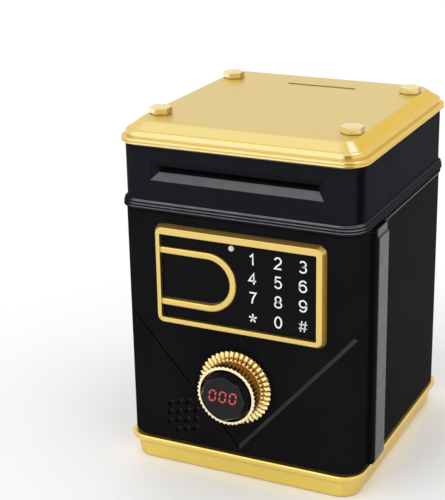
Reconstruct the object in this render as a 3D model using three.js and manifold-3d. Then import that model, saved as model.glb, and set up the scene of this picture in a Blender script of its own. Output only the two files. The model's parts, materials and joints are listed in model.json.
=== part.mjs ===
// Toy cash-machine savings bank: an upright box with a hinged front door, a note slot in
// the head and a coin slot in the lid. Millimetres, +Z up, front face towards -Y.
// The origin is the centre of the underside of the base.
import * as THREE from 'three';
import { mergeVertices } from 'three/addons/utils/BufferGeometryUtils.js';
import Module from 'manifold-3d';

const wasm = await Module();
wasm.setup();

// ---------------------------------------------------------------- driving dimensions
const GAP = 0.3;                                      // running gap between separate pieces
const BODY = { x: 62.5, y: 64.75, r: 10.7, wall: 2.3 };   // half width, half depth, corner, wall
const FRONT = -BODY.y;                                // plane of the door's raised face
const FAR = 90;                                       // past every outer face, for cutting blocks
const RIM_Z = 12.9;                                   // top of the base tray's rim
const BODY_Z = { low: 13.2, high: 136.1 };
const BEAD_Z = 136.4;                                 // underside of the head
const LID_Z = 168.6;                                  // underside of the lid
const TOP_Z = 179.0;                                  // lid plateau
const CAP_Z = 182.4;                                  // top of the hexagonal caps
const TIE = { x: 49.9, y: 42.0, r: 1.8 };             // four tie bolts from the lid to the body
const DOOR_BACK = -49.0;                              // the door's rear edge
const SIDE_FRONT = -48.6;                             // the body side walls' front edge
const DOOR_SKIN = -61.2;                              // inner surface of the door's front wall
const HINGE = { x: 60.3, y: -50.9, barrel: 2.2, pin: 0.95 };
const BAR = { out: 66.4, y0: -48.3, y1: -32.6, edge: 1.0, neck: 131.6, top: 135.9 };   // hinge guard
const PANEL_STEP = 1.5;                               // how far the V panel stands forward
const V_TIP_Z = 16.7;
const V_SLOPE = 1.13;
const V_CHAMFER = 2.2;                                // width of the V edge's chamfer
const FRAME = { x0: -42.7, x1: 47.1, z0: 78.9, z1: 130.9, r: 4.8 };    // keypad surround
const WINDOW = { x0: -39.1, x1: 42.7, z0: 82.8, z1: 126.0, r: 0.6 };
const FRAME_H = 3.3;                                  // how far the surround stands forward
const SCAN = { x: -14.15, z: 104.2, r: 15.3, bar: 3.65 };   // round end of the finger window
const INDICATOR = { x: -1.7, z: 123.0, r: 1.4 };        // status light above the finger window
const KNOB = { z: 51.3, rear: 19.5, front: 15.45, teeth: 42, h: 13.5 };
const SLEEVE = { outer: 10.2, inner: 8.8 };           // the knob's tube through the door
const FACET_H = 17.0;                                 // display facet ahead of the door
const MODULE = { x: 9.4, z: 5.4, front: -78.7, back: -74.7 };   // light-emitting display block
const BOLT = { x0: -49.2, x1: 16.0, y0: -56.5, y1: -53, z0: 65.1, z1: 71.0 };
const BOLT_Y = (BOLT.y0 + BOLT.y1) / 2;
const PINION_R = 12.5;                                // knob gear's pitch radius
const SPEAKER = { x: -33.3, z: 26.0, r: 10.2 };
const GRILLE = { reach: 8.0, pitch: 4.0, row: 2.1, length: 2.6, width: 0.9 };
const NOTE_Z = { low: 155.2, high: 158.2 };           // the note slot's throat
const COIN = { x: 2.2, y: 39.4, half: 18.8, width: 3.2 };
const DRIVE = { y: -43.0, z: 149.5, roller: 7.0, teeth: 18 };
const PINCH = { z: 160.4, roller: 3.5 };
const MOTOR = { y: -32.2, r: 6.0, teeth: 9 };
const FEED_MODULE = 0.8;
const LATCH_MODULE = 1.0;
const FLOOR_Z = { low: 19.6, high: 21.6 };            // money floor inside the body
const HEAD_FLOOR = 138.8;                             // top of the head's floor plate
const CELL = { x: 30.0, y0: 12.0, y1: 57.2, top: 17.4 };    // battery space

// ---------------------------------------------------------------- materials
const finish = (color, roughness, metalness) => new THREE.MeshStandardMaterial({ color, roughness, metalness });
const FINISH = {
  gold: () => finish(0xd9bd72, 0.35, 0.75),
  paleGold: () => finish(0xe6d9a8, 0.4, 0.6),
  black: () => finish(0x17171a, 0.3, 0),
  dark: () => finish(0x2a2a2d, 0.6, 0),
  white: () => finish(0xd8d6ce, 0.6, 0),
  steel: () => finish(0xb4b6ba, 0.35, 1),
  rubber: () => finish(0x2e2c2c, 0.9, 0),
  board: () => finish(0x2f6b45, 0.6, 0),
  lens: () => finish(0x0c0a0c, 0.08, 0),
  red: () => finish(0xd8364a, 0.3, 0),
};

// ---------------------------------------------------------------- solids
function solid(geometry) {
  const bare = geometry.clone();
  bare.deleteAttribute('normal');
  bare.deleteAttribute('uv');
  const merged = mergeVertices(bare, 1e-4);
  const vertProperties = new Float32Array(merged.attributes.position.array);
  const triVerts = new Uint32Array(merged.index.array);
  return new wasm.Manifold(new wasm.Mesh({ numProp: 3, vertProperties, triVerts }));
}

function asGeometry(shape) {
  if (shape.isBufferGeometry) return shape;
  const mesh = shape.getMesh();
  const geometry = new THREE.BufferGeometry();
  geometry.setAttribute('position', new THREE.BufferAttribute(new Float32Array(mesh.vertProperties), 3));
  geometry.setIndex(new THREE.BufferAttribute(new Uint32Array(mesh.triVerts), 1));
  return geometry;
}

const asSolid = (shape) => (shape.isBufferGeometry ? solid(shape) : shape);
const join = (first, ...rest) => rest.reduce((sum, piece) => sum.add(asSolid(piece)), asSolid(first));
const cut = (first, ...rest) => rest.reduce((left, piece) => left.subtract(asSolid(piece)), asSolid(first));
const common = (first, second) => asSolid(first).intersect(asSolid(second));

// Axis-aligned block between two corners.
function block(x0, x1, y0, y1, z0, z1) {
  const geometry = new THREE.BoxGeometry(x1 - x0, y1 - y0, z1 - z0);
  return geometry.translate((x0 + x1) / 2, (y0 + y1) / 2, (z0 + z1) / 2);
}

// Round bar along one axis; u and v are the other two coordinates of its centre line.
function rod(axis, radius, low, high, u, v, sides = 16) {
  const geometry = new THREE.CylinderGeometry(radius, radius, high - low, sides);
  const middle = (low + high) / 2;
  if (axis === 'x') return geometry.rotateZ(Math.PI / 2).translate(middle, u, v);
  if (axis === 'y') return geometry.translate(u, middle, v);
  return geometry.rotateX(Math.PI / 2).translate(u, v, middle);
}

// Closed skin through rings of equally many points, with flat ends.
function loft(rings) {
  const count = rings[0].length;
  const points = rings.flat().flatMap((point) => [point.x, point.y, point.z]);
  const index = [];
  for (let level = 0; level < rings.length - 1; level += 1) {
    for (let i = 0; i < count; i += 1) {
      const a = level * count + i;
      const b = level * count + ((i + 1) % count);
      index.push(a, b, b + count, a, b + count, a + count);
    }
  }
  const flat = (ring) => ring.map((point) => new THREE.Vector2(point.x, point.y));
  const last = (rings.length - 1) * count;
  for (const [a, b, c] of THREE.ShapeUtils.triangulateShape(flat(rings[0]), [])) {
    index.push(a, c, b);
    index.push(last + a, last + b, last + c);
  }
  const geometry = new THREE.BufferGeometry();
  geometry.setAttribute('position', new THREE.Float32BufferAttribute(points, 3));
  geometry.setIndex(index);
  return geometry;
}

// Rounded rectangle at one height, anticlockwise.
function plateRing(halfX, halfY, radius, z, steps = 4) {
  const ring = [];
  for (let corner = 0; corner < 4; corner += 1) {
    const signX = corner === 0 || corner === 3 ? 1 : -1;
    const signY = corner < 2 ? 1 : -1;
    for (let i = 0; i <= steps; i += 1) {
      const angle = (Math.PI / 2) * (corner + i / steps);
      const x = signX * (halfX - radius) + radius * Math.cos(angle);
      const y = signY * (halfY - radius) + radius * Math.sin(angle);
      ring.push(new THREE.Vector3(x, y, z));
    }
  }
  return ring;
}

// Box with rounded upright edges, through [inset, z] pairs measured from the body outline.
function casing(profile) {
  return loft(profile.map(([inset, z]) => plateRing(BODY.x - inset, BODY.y - inset, BODY.r - inset / 2, z)));
}

// Flat outline given in X and Z, extruded backwards from y0 to y1.
function facePlate(shape, y0, y1, options = {}) {
  const geometry = new THREE.ExtrudeGeometry(shape, {
    depth: y1 - y0, bevelEnabled: false, curveSegments: 6, ...options,
  });
  return geometry.rotateX(Math.PI / 2).translate(0, y1, 0);
}

function roundedShape({ x0, x1, z0, z1, r }) {
  const shape = new THREE.Shape();
  shape.moveTo(x0 + r, z0);
  shape.lineTo(x1 - r, z0);
  shape.absarc(x1 - r, z0 + r, r, -Math.PI / 2, 0);
  shape.lineTo(x1, z1 - r);
  shape.absarc(x1 - r, z1 - r, r, 0, Math.PI / 2);
  shape.lineTo(x0 + r, z1);
  shape.absarc(x0 + r, z1 - r, r, Math.PI / 2, Math.PI);
  shape.lineTo(x0, z0 + r);
  shape.absarc(x0 + r, z0 + r, r, Math.PI, Math.PI * 1.5);
  return shape;
}

// D outline of the finger window: straight towards the surround's left bar, round at the right.
function scanShape(radius, left) {
  const shape = new THREE.Shape();
  shape.moveTo(left, SCAN.z - radius);
  shape.lineTo(SCAN.x, SCAN.z - radius);
  shape.absarc(SCAN.x, SCAN.z, radius, -Math.PI / 2, Math.PI / 2);
  shape.lineTo(left, SCAN.z + radius);
  shape.closePath();
  return shape;
}

// Spur gear outline with straight-flanked teeth; phase turns it by a fraction of a tooth.
function gearShape(teeth, module, phase) {
  const pitch = (module * teeth) / 2;
  const corners = [[-0.29, -1.15], [-0.11, 0.85], [0.11, 0.85], [0.29, -1.15]];
  const shape = new THREE.Shape();
  for (let tooth = 0; tooth < teeth; tooth += 1) {
    for (const [offset, height] of corners) {
      const angle = ((tooth + phase + offset) * 2 * Math.PI) / teeth;
      const radius = pitch + height * module;
      const draw = tooth === 0 && offset === corners[0][0] ? 'moveTo' : 'lineTo';
      shape[draw](radius * Math.cos(angle), radius * Math.sin(angle));
    }
  }
  return shape;
}

// Feed gear on an axis along X. The outline's own X becomes +Y and its Y becomes +Z.
function feedGear(teeth, phase, x0, x1, y, z, bore) {
  const shape = gearShape(teeth, FEED_MODULE, phase);
  const geometry = new THREE.ExtrudeGeometry(shape, { depth: x1 - x0, bevelEnabled: false });
  const placed = geometry.rotateX(Math.PI / 2).rotateZ(Math.PI / 2).translate(x0, y, z);
  return cut(placed, rod('x', bore, x0 - 1, x1 + 1, y, z));
}

const bank = new THREE.Group();

function add(name, shape, material) {
  const mesh = new THREE.Mesh(asGeometry(shape), material);
  mesh.name = name;
  bank.add(mesh);
}

const corners = (x, y) => [[-x, -y], [x, -y], [x, y], [-x, y]];

// ---------------------------------------------------------------- base
const BASE_SCREW = { x: 52.0, y: 50.0, head: 2.8, shank: 1.3 };
const CELL_SCREW_Y = 9.2;

function baseTray() {
  const outer = casing([
    [2.3, 0], [1.6, 0.7], [1.5, 2.0], [0.3, 9.0], [-1.3, 9.9], [-1.8, 10.8], [-1.8, 12.2], [-1.1, RIM_Z],
  ]);
  const hollow = casing([[5.2, 2.4], [4.6, RIM_Z + 1]]);
  const hatch = block(-CELL.x, CELL.x, 6.3, 57.5, -1, 3);
  const pinHole = rod('z', HINGE.pin + GAP, 7.4, RIM_Z + 1, HINGE.x, HINGE.y, 12);
  const screwHoles = corners(BASE_SCREW.x, BASE_SCREW.y).map(([x, y]) => join(
    rod('z', BASE_SCREW.head + GAP, -1, 1.7, x, y, 16),
    rod('z', BASE_SCREW.shank + GAP, -1, 4, x, y, 12),
  ));
  return cut(outer, hollow, hatch, pinHole, ...screwHoles);
}

function batteryBox() {
  const shell = block(-CELL.x - 1.5, CELL.x + 1.5, 6.6, CELL.y1 + 1.5, 2.7, CELL.top + 1.5);
  const space = block(-CELL.x + 0.1, CELL.x - 0.1, CELL.y0, CELL.y1, 2, CELL.top);
  const screwHole = rod('z', 1.6, 2, 12, 0, CELL_SCREW_Y, 12);
  const pitch = (CELL.y1 - CELL.y0) / 3;
  const ribs = [1, 2].map((i) => {
    const y = CELL.y0 + i * pitch;
    return block(-CELL.x, CELL.x, y - 0.5, y + 0.5, CELL.top - 3.5, CELL.top + 0.5);
  });
  return join(cut(shell, space, screwHole), ...ribs);
}

function batteryContact(side) {
  const inner = side * (CELL.x - 1.2);
  const outer = side * (CELL.x - 0.5);
  const plate = block(Math.min(inner, outer), Math.max(inner, outer), CELL.y0 + 1, CELL.y1 - 1, 4, 13.4);
  const pitch = (CELL.y1 - CELL.y0) / 3;
  const bumps = [0.5, 1.5, 2.5].map((i) => {
    const tip = side * (CELL.x - 3.4);
    return rod('x', 2.2, Math.min(tip, inner + side * 0.2), Math.max(tip, inner + side * 0.2),
      CELL.y0 + i * pitch, 9.6, 12);
  });
  return join(plate, ...bumps);
}

add('base_tray', baseTray(), FINISH.gold());
add('battery_box', batteryBox(), FINISH.dark());
add('battery_cover', cut(
  block(-CELL.x + GAP, CELL.x - GAP, 6.6, 57.2, 0.2, 2.2),
  rod('z', 2.9, -1, 1.4, 0, CELL_SCREW_Y, 16),
  rod('z', 1.6, -1, 3, 0, CELL_SCREW_Y, 12),
), FINISH.gold());
add('battery_cover_screw', join(
  rod('z', 2.5, 0.3, 1.1, 0, CELL_SCREW_Y, 16),
  rod('z', 1.2, 0.9, 10, 0, CELL_SCREW_Y, 12),
), FINISH.steel());
add('battery_contact_left', batteryContact(-1), FINISH.steel());
add('battery_contact_right', batteryContact(1), FINISH.steel());
corners(BASE_SCREW.x, BASE_SCREW.y).forEach(([x, y], i) => {
  const screw = join(
    rod('z', BASE_SCREW.head, 0.4, 1.4, x, y, 16),
    rod('z', BASE_SCREW.shank, 1.2, 13, x, y, 12),
  );
  add(`base_screw_${i + 1}`, screw, FINISH.steel());
});

// ---------------------------------------------------------------- body
// Side walls, rear wall, money floor and front header in one moulding, open at the front.
function bodyShell() {
  const outer = casing([[0, BODY_Z.low], [0, BODY_Z.high]]);
  const inner = casing([[BODY.wall, 0], [BODY.wall, LID_Z]]);
  const insideX = BODY.x - BODY.wall + 0.5;
  const insideY = BODY.y - BODY.wall + 0.5;
  const sill = SIDE_FRONT + 2;
  const floor = block(-insideX, insideX, SIDE_FRONT, insideY - 8, FLOOR_Z.low, FLOOR_Z.high);
  const floorBack = block(-insideX + 8, insideX - 8, 0, insideY, FLOOR_Z.low, FLOOR_Z.high);
  const sillWall = block(-insideX, insideX, SIDE_FRONT, sill, BODY_Z.low, FLOOR_Z.high);
  const header = block(-insideX, insideX, SIDE_FRONT, SIDE_FRONT + 4, 130, BODY_Z.high);
  const tieBosses = corners(TIE.x, TIE.y).map(([x, y]) => join(
    rod('z', 4, 122, BODY_Z.high, x, y),
    block(Math.min(x, Math.sign(x) * insideX), Math.max(x, Math.sign(x) * insideX), y - 1.5, y + 1.5,
      122, BODY_Z.high),
  ));
  const screwBosses = corners(BASE_SCREW.x, BASE_SCREW.y).map(([x, y]) =>
    rod('z', 3.4, 2.7, FLOOR_Z.low + 1, x, Math.max(y, SIDE_FRONT + 3.5)));
  const tieHoles = corners(TIE.x, TIE.y).map(([x, y]) => rod('z', TIE.r + GAP, 121, LID_Z, x, y, 16));
  const screwHoles = corners(BASE_SCREW.x, BASE_SCREW.y).map(([x, y]) =>
    rod('z', BASE_SCREW.shank + GAP, 0, 15, x, y, 12));
  const walls = common(cut(outer, inner), block(-FAR, FAR, SIDE_FRONT, FAR, 0, LID_Z));
  const whole = join(walls, floor, floorBack, sillWall, header, ...tieBosses, ...screwBosses);
  return cut(whole, ...tieHoles, ...screwHoles);
}

// Upright guard bar that covers the hinge side; it overhangs the rim of the base.
function hingeBar() {
  const { out, y0, y1, edge, neck, top } = BAR;
  const x = BODY.x + GAP;
  const section = [[x, y0], [out - edge, y0], [out, y0 + edge], [out, y1 - edge], [out - edge, y1], [x, y1]];
  const levels = [[0, BODY_Z.low], [0, neck], [0.9, neck + 1.6], [0.9, top]];
  return loft(levels.map(([shrink, z]) =>
    section.map(([px, py]) => new THREE.Vector3(px > x ? px - shrink : px, py, z))));
}

add('body_shell', bodyShell(), FINISH.black());
add('hinge_bar', hingeBar(), FINISH.dark());
add('hinge_pin_bottom', rod('z', HINGE.pin, 7.8, 22, HINGE.x, HINGE.y, 12), FINISH.steel());
add('hinge_pin_top', rod('z', HINGE.pin, 126, 138.2, HINGE.x, HINGE.y, 12), FINISH.steel());
add('strike_plate', cut(
  join(block(-58.2, -56.6, -58.0, -38.0, 60, 76), block(-59.9, -57, -46.0, -38.0, 60, 76)),
  block(-61, -56, BOLT.y0 - 0.4, BOLT.y1 + 0.4, BOLT.z0 - 0.5, BOLT.z1 + 0.5),
), FINISH.steel());

// ---------------------------------------------------------------- head and lid
const SLOT = { outer: 44.9, inner: 41.4, depth: 3.0, low: 151.6, high: 161.7 };
const HEAD_OUT = 0.45;                                // head stands in from the body outline

function noteMouth(inset, y, low, high) {
  const half = SLOT.outer - inset;
  return [[-half, low], [half, low], [half, high], [-half, high]].map(([x, z]) => new THREE.Vector3(x, z, y));
}

function headShell() {
  const outer = casing([
    [0.6, BEAD_Z], [-0.9, 136.9], [-1.3, 137.6], [-0.9, 138.4], [-1.3, 139.3], [-0.9, 140.2],
    [HEAD_OUT, 140.9], [HEAD_OUT, LID_Z - GAP],
  ]);
  const inner = casing([[HEAD_OUT + 2.4, HEAD_FLOOR], [HEAD_OUT + 2.4, LID_Z + 1]]);
  const drop = block(-38, 38, -24, 52, 130, 145);
  const front = FRONT + HEAD_OUT;
  // Drawn lying down (height along Y), then stood up so that its depth runs along +Y.
  const funnel = loft([
    noteMouth(SLOT.outer - SLOT.inner, -(front + SLOT.depth), NOTE_Z.low, NOTE_Z.high),
    noteMouth(0, -front, SLOT.low, SLOT.high),
    noteMouth(0, -front + 2, SLOT.low, SLOT.high),
  ]).rotateX(Math.PI / 2);
  const lip = block(-SLOT.outer - 1.5, SLOT.outer + 1.5, front + 1, front + 4.6, 149.5, 164.5);
  const throat = block(-SLOT.inner, SLOT.inner, front - 1, front + 6, NOTE_Z.low, NOTE_Z.high);
  const columns = corners(TIE.x, TIE.y).map(([x, y]) => rod('z', 4, HEAD_FLOOR - 1, LID_Z - GAP, x, y));
  const tieHoles = corners(TIE.x, TIE.y).map(([x, y]) => rod('z', TIE.r + GAP, 130, LID_Z + 1, x, y, 16));
  const pinHole = rod('z', HINGE.pin + GAP, 130, 138.5, HINGE.x, HINGE.y, 12);
  const shell = join(cut(outer, inner), lip, ...columns);
  return cut(shell, drop, funnel, throat, ...tieHoles, pinHole);
}

function lid() {
  const outer = casing([
    [-0.5, LID_Z], [-1.3, 169.3], [-1.3, 171.0], [-0.6, 171.8], [0.7, 172.0], [0.9, 174.4], [1.6, 175.1],
    [6.4, 178.7], [7.2, TOP_Z],
  ]);
  const inner = casing([[3.6, LID_Z - 1], [3.6, 172.6], [9.4, 176.6]]);
  const slot = block(COIN.x - COIN.half, COIN.x + COIN.half, COIN.y - COIN.width / 2, COIN.y + COIN.width / 2,
    170, 190);
  const holes = corners(TIE.x, TIE.y).map(([x, y]) => rod('z', TIE.r + GAP, 160, 190, x, y, 16));
  return cut(outer, inner, slot, ...holes);
}

function hexBolt(x, y) {
  const cap = new THREE.CylinderGeometry(6.1, 6.1, 2.4, 6).rotateX(Math.PI / 2).translate(x, y, TOP_Z + 1.3);
  const crown = new THREE.CylinderGeometry(4.9, 6.1, 0.9, 6).rotateX(Math.PI / 2).translate(x, y, CAP_Z - 0.45);
  return join(cap, crown, rod('z', TIE.r, 124, TOP_Z + 1, x, y, 16));
}

add('head_shell', headShell(), FINISH.black());
add('lid', lid(), FINISH.gold());
corners(TIE.x, TIE.y).forEach(([x, y], i) => add(`hex_bolt_${i + 1}`, hexBolt(x, y), FINISH.paleGold()));

// ---------------------------------------------------------------- coin chute
const CHUTE = { half: 20.6, depth: 2.8, wall: 1.2, low: 139.1, high: 175.6 };

function coinChute() {
  const { half, depth, wall, low, high } = CHUTE;
  const tube = block(COIN.x - half - wall, COIN.x + half + wall, COIN.y - depth - wall, COIN.y + depth + wall,
    low, high);
  const feet = block(-45, 45, COIN.y - 4, COIN.y + 4, low, low + 2);
  const path = block(COIN.x - half, COIN.x + half, COIN.y - depth, COIN.y + depth, low - 1, high + 1);
  return cut(join(tube, feet), path);
}

add('coin_chute', coinChute(), FINISH.white());
add('coin_sensor', block(10, 24, COIN.y + 4.3, COIN.y + 9, 148, 158), FINISH.board());

// ---------------------------------------------------------------- note feeder
const SIDE = { in: 42.0, out: 43.6 };
const GEAR_X = { low: 37.0, high: 40.0 };
const SHAFT_R = 1.5;
const PINCH_SHAFT_R = 1.2;

function feederSide(side) {
  const inner = side * SIDE.in;
  const outer = side * SIDE.out;
  const plate = block(Math.min(inner, outer), Math.max(inner, outer), -59.4, -25, HEAD_FLOOR + GAP, 165);
  return cut(plate,
    rod('x', SHAFT_R + GAP, -60, 60, DRIVE.y, DRIVE.z, 16),
    rod('x', PINCH_SHAFT_R + GAP, -60, 60, DRIVE.y, PINCH.z, 16));
}

function roller(side, radius, z, bore) {
  const inner = side * 10;
  const outer = side * 20;
  const low = Math.min(inner, outer);
  const high = Math.max(inner, outer);
  const bored = rod('x', bore + GAP, low - 1, high + 1, DRIVE.y, z, 12);
  return cut(rod('x', radius, low, high, DRIVE.y, z, 24), bored);
}

add('bill_guide_lower', block(-SIDE.in + GAP, SIDE.in - GAP, -59.4, -50.6, 153.2, 154.9), FINISH.dark());
add('bill_guide_upper', block(-SIDE.in + GAP, SIDE.in - GAP, -59.4, -47.0, 158.5, 159.9), FINISH.dark());
add('note_sensor', block(-7, 7, -57, -49, 160.2, 163.4), FINISH.board());
add('feeder_side_left', feederSide(-1), FINISH.white());
add('feeder_side_right', feederSide(1), FINISH.white());
add('drive_shaft', rod('x', SHAFT_R, -SIDE.out, SIDE.out, DRIVE.y, DRIVE.z, 16), FINISH.steel());
add('pinch_shaft', rod('x', PINCH_SHAFT_R, -SIDE.out, SIDE.out, DRIVE.y, PINCH.z, 12), FINISH.steel());
for (const [name, side] of [['left', -1], ['right', 1]]) {
  add(`drive_roller_${name}`, roller(side, DRIVE.roller, DRIVE.z, SHAFT_R), FINISH.rubber());
  add(`pinch_roller_${name}`, roller(side, PINCH.roller, PINCH.z, PINCH_SHAFT_R), FINISH.rubber());
}
add('drive_gear', feedGear(DRIVE.teeth, 0, GEAR_X.low, GEAR_X.high, DRIVE.y, DRIVE.z, SHAFT_R + GAP),
  FINISH.white());
// A gap of the pinion faces the drive gear's tooth, half a tooth round from its own phase.
add('motor_pinion', feedGear(MOTOR.teeth, 0, GEAR_X.low, GEAR_X.high, MOTOR.y, DRIVE.z, 1.0), FINISH.white());
add('feed_motor', join(
  rod('x', MOTOR.r, 22, 36.4, MOTOR.y, DRIVE.z, 20),
  rod('x', 0.7, 30, 39.5, MOTOR.y, DRIVE.z, 10),
  block(23, 36, MOTOR.y - 5, MOTOR.y + 5, HEAD_FLOOR + GAP, 147),
), FINISH.steel());

// ---------------------------------------------------------------- door
const DOOR_SCREW = { x: 52.0, z0: 22.0, z1: 128.6 };
const doorCorners = [[-1, 'z0'], [1, 'z0'], [1, 'z1'], [-1, 'z1']]
  .map(([side, level]) => [side * DOOR_SCREW.x, DOOR_SCREW[level]]);

// The space in front of the door's lower part, which is set back below a chamfered V edge. The
// step fades out round the corners, where the set-back face runs into the sides.
function belowV() {
  const tip = V_TIP_Z - (V_CHAMFER / 2) * Math.hypot(1, V_SLOPE);
  const shape = new THREE.Shape();
  shape.moveTo(0, tip);
  shape.lineTo(-FAR, tip + FAR * V_SLOPE);
  shape.lineTo(-FAR, -20);
  shape.lineTo(FAR, -20);
  shape.lineTo(FAR, tip + FAR * V_SLOPE);
  shape.closePath();
  const chamfered = facePlate(shape, -FAR, FRONT, {
    bevelEnabled: true, bevelThickness: PANEL_STEP, bevelSize: V_CHAMFER, bevelSegments: 1,
  });
  const setBack = casing([[0, 0], [0, LID_Z]]).translate(0, PANEL_STEP, 0);
  const inFront = cut(block(-FAR, FAR, -FAR, DOOR_BACK, 1, BEAD_Z), setBack);
  return common(join(facePlate(shape, 1 - FAR, DOOR_BACK + 4), chamfered), inFront);
}

// Round grille: short slots that lean to the right, on staggered diagonal rows inside a circle.
function grilleSlots() {
  const slots = [];
  for (let row = -4; row <= 4; row += 1) {
    for (let i = -3; i <= 3; i += 1) {
      const along = (i + (row % 2 ? 0.5 : 0)) * GRILLE.pitch;
      const across = row * GRILLE.row;
      if (Math.hypot(along, across) > GRILLE.reach) continue;
      const slot = new THREE.BoxGeometry(GRILLE.length, 15, GRILLE.width).translate(along, 0, across);
      slots.push(slot.rotateY(-Math.PI / 4).translate(SPEAKER.x, -62, SPEAKER.z));
    }
  }
  return slots;
}

function doorPanel() {
  const outer = casing([[0, BODY_Z.low], [0, BODY_Z.high]]);
  const half = { x: BODY.x - BODY.wall, y: -DOOR_SKIN };
  const hollow = loft([15.4, 133.8].map((z) => plateRing(half.x, half.y, 8, z)));
  const front = common(cut(outer, hollow), block(-FAR, FAR, -FAR, DOOR_BACK, 0, LID_Z));
  const barrel = rod('z', HINGE.barrel, BODY_Z.low, BODY_Z.high, HINGE.x, HINGE.y, 20);
  const bosses = doorCorners.map(([x, z]) => rod('y', 2.8, DOOR_SKIN - 1, -51.7, x, z, 16));
  // The hinge-side return stops at the hinge axis, where the barrel takes over.
  const trimmed = cut(front, belowV(), block(HINGE.x - HINGE.barrel, FAR, HINGE.y, 0, 0, LID_Z));
  const pinHoles = [[0, 22.4], [125.6, 150]].map(([low, high]) =>
    rod('z', HINGE.pin + GAP, low, high, HINGE.x, HINGE.y, 12));
  const screwHoles = doorCorners.map(([x, z]) => rod('y', 1.2, -60, -50, x, z, 10));
  const window = facePlate(roundedShape(WINDOW), -70, -55);
  const knobHole = rod('y', SLEEVE.outer + 0.4, -70, -55, 0, KNOB.z, 28);
  return cut(join(trimmed, barrel, ...bosses), ...pinHoles, ...screwHoles, window, knobHole, ...grilleSlots());
}

function innerCover() {
  const plate = block(-59.9, 57.6, -51.4, -49.6, 15.7, 133.5);
  const strikeGap = block(-61, -55.5, -53, -48, 57.5, 78.5);
  const holes = doorCorners.map(([x, z]) =>
    join(rod('y', 2.6, -50.6, -48, x, z, 16), rod('y', 1.3, -53, -48, x, z, 10)));
  return cut(plate, strikeGap, ...holes);
}

function keypadFrame() {
  const front = FRONT - FRAME_H;
  const back = FRONT - 0.1;
  const edge = 1.9;
  const inset = { x0: FRAME.x0 + edge, x1: FRAME.x1 - edge, z0: FRAME.z0 + edge, z1: FRAME.z1 - edge };
  const outline = facePlate(roundedShape({ ...inset, r: FRAME.r - edge }), front + edge, back, {
    bevelEnabled: true, bevelThickness: edge, bevelSize: edge, bevelSegments: 1,
  });
  const slab = common(outline, block(-FAR, FAR, front - 1, back, 0, LID_Z));
  const surround = cut(slab, facePlate(roundedShape(WINDOW), front - 1, back + 1));
  const scanFront = front + 0.7;
  const ring = cut(
    facePlate(scanShape(SCAN.r, WINDOW.x0 - 0.5), scanFront, back),
    facePlate(scanShape(SCAN.r - SCAN.bar, WINDOW.x0 - 0.01), scanFront - 1, back + 1),
  );
  return join(surround, ring);
}

function keypadPanel() {
  const plate = { x0: WINDOW.x0 + GAP, x1: WINDOW.x1 - GAP, z0: WINDOW.z0 + GAP, z1: WINDOW.z1 - GAP, r: 0.5 };
  return cut(
    facePlate(roundedShape(plate), -65.6, -63.0),
    facePlate(scanShape(SCAN.r + GAP, WINDOW.x0 - 2), -70, -60),
    rod('y', INDICATOR.r + GAP, -70, -60, INDICATOR.x, INDICATOR.z, 12),
  );
}

add('door_panel', doorPanel(), FINISH.black());
add('door_inner_cover', innerCover(), FINISH.dark());
add('keypad_frame', keypadFrame(), FINISH.gold());
add('keypad_panel', keypadPanel(), FINISH.black());
add('keypad_board', block(-38.4, 41.0, -61.3, -60.0, 83.5, 125.3), FINISH.board());
add('finger_pad', facePlate(scanShape(SCAN.r - SCAN.bar - GAP, WINDOW.x0 + GAP), -65.9, -62.4), FINISH.black());
add('indicator_led', rod('y', INDICATOR.r, -66.1, -61.6, INDICATOR.x, INDICATOR.z, 12), FINISH.white());
doorCorners.forEach(([x, z], i) => {
  const screw = join(rod('y', 2.3, -50.4, -49.7, x, z, 16), rod('y', 0.9, -58, -50.2, x, z, 8));
  add(`door_screw_${i + 1}`, screw, FINISH.steel());
});

// ---------------------------------------------------------------- door electronics
add('speaker', join(
  rod('y', SPEAKER.r, -60.9, -58.6, SPEAKER.x, SPEAKER.z, 20),
  rod('y', SPEAKER.r - 2.5, -59, -57.0, SPEAKER.x, SPEAKER.z, 20),
), FINISH.dark());
add('speaker_magnet', rod('y', SPEAKER.r - 3.7, -56.7, -52.4, SPEAKER.x, SPEAKER.z), FINISH.steel());
// The board, then the processor, a connector and a capacitor that stand behind it.
const BOARD_BACK = -57.2;
add('main_board', join(
  block(20, 47, BOARD_BACK - 1.4, BOARD_BACK, 24, 62),
  block(25, 34, BOARD_BACK - 0.2, BOARD_BACK + 1.8, 44, 53),
  block(38, 44, BOARD_BACK - 0.2, BOARD_BACK + 2.6, 27, 41),
  block(24, 30, BOARD_BACK - 0.2, BOARD_BACK + 3.6, 28, 34),
), FINISH.board());

// ---------------------------------------------------------------- knob and display
// A ring of shallow teeth round the knob's own axis, at one distance ahead of the door.
function toothedRing(radius, toothDepth, h) {
  const ring = [];
  for (let i = 0; i < KNOB.teeth * 2; i += 1) {
    const angle = (i * Math.PI) / KNOB.teeth;
    const reach = radius - (i % 2 ? toothDepth : 0);
    ring.push(new THREE.Vector3(reach * Math.cos(angle), reach * Math.sin(angle), h));
  }
  return ring;
}

// The knob is drawn with its axis along +Z and h ahead of the door, then laid forwards.
const forwards = (geometry) => geometry.rotateX(Math.PI / 2).translate(0, FRONT, KNOB.z);

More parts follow.
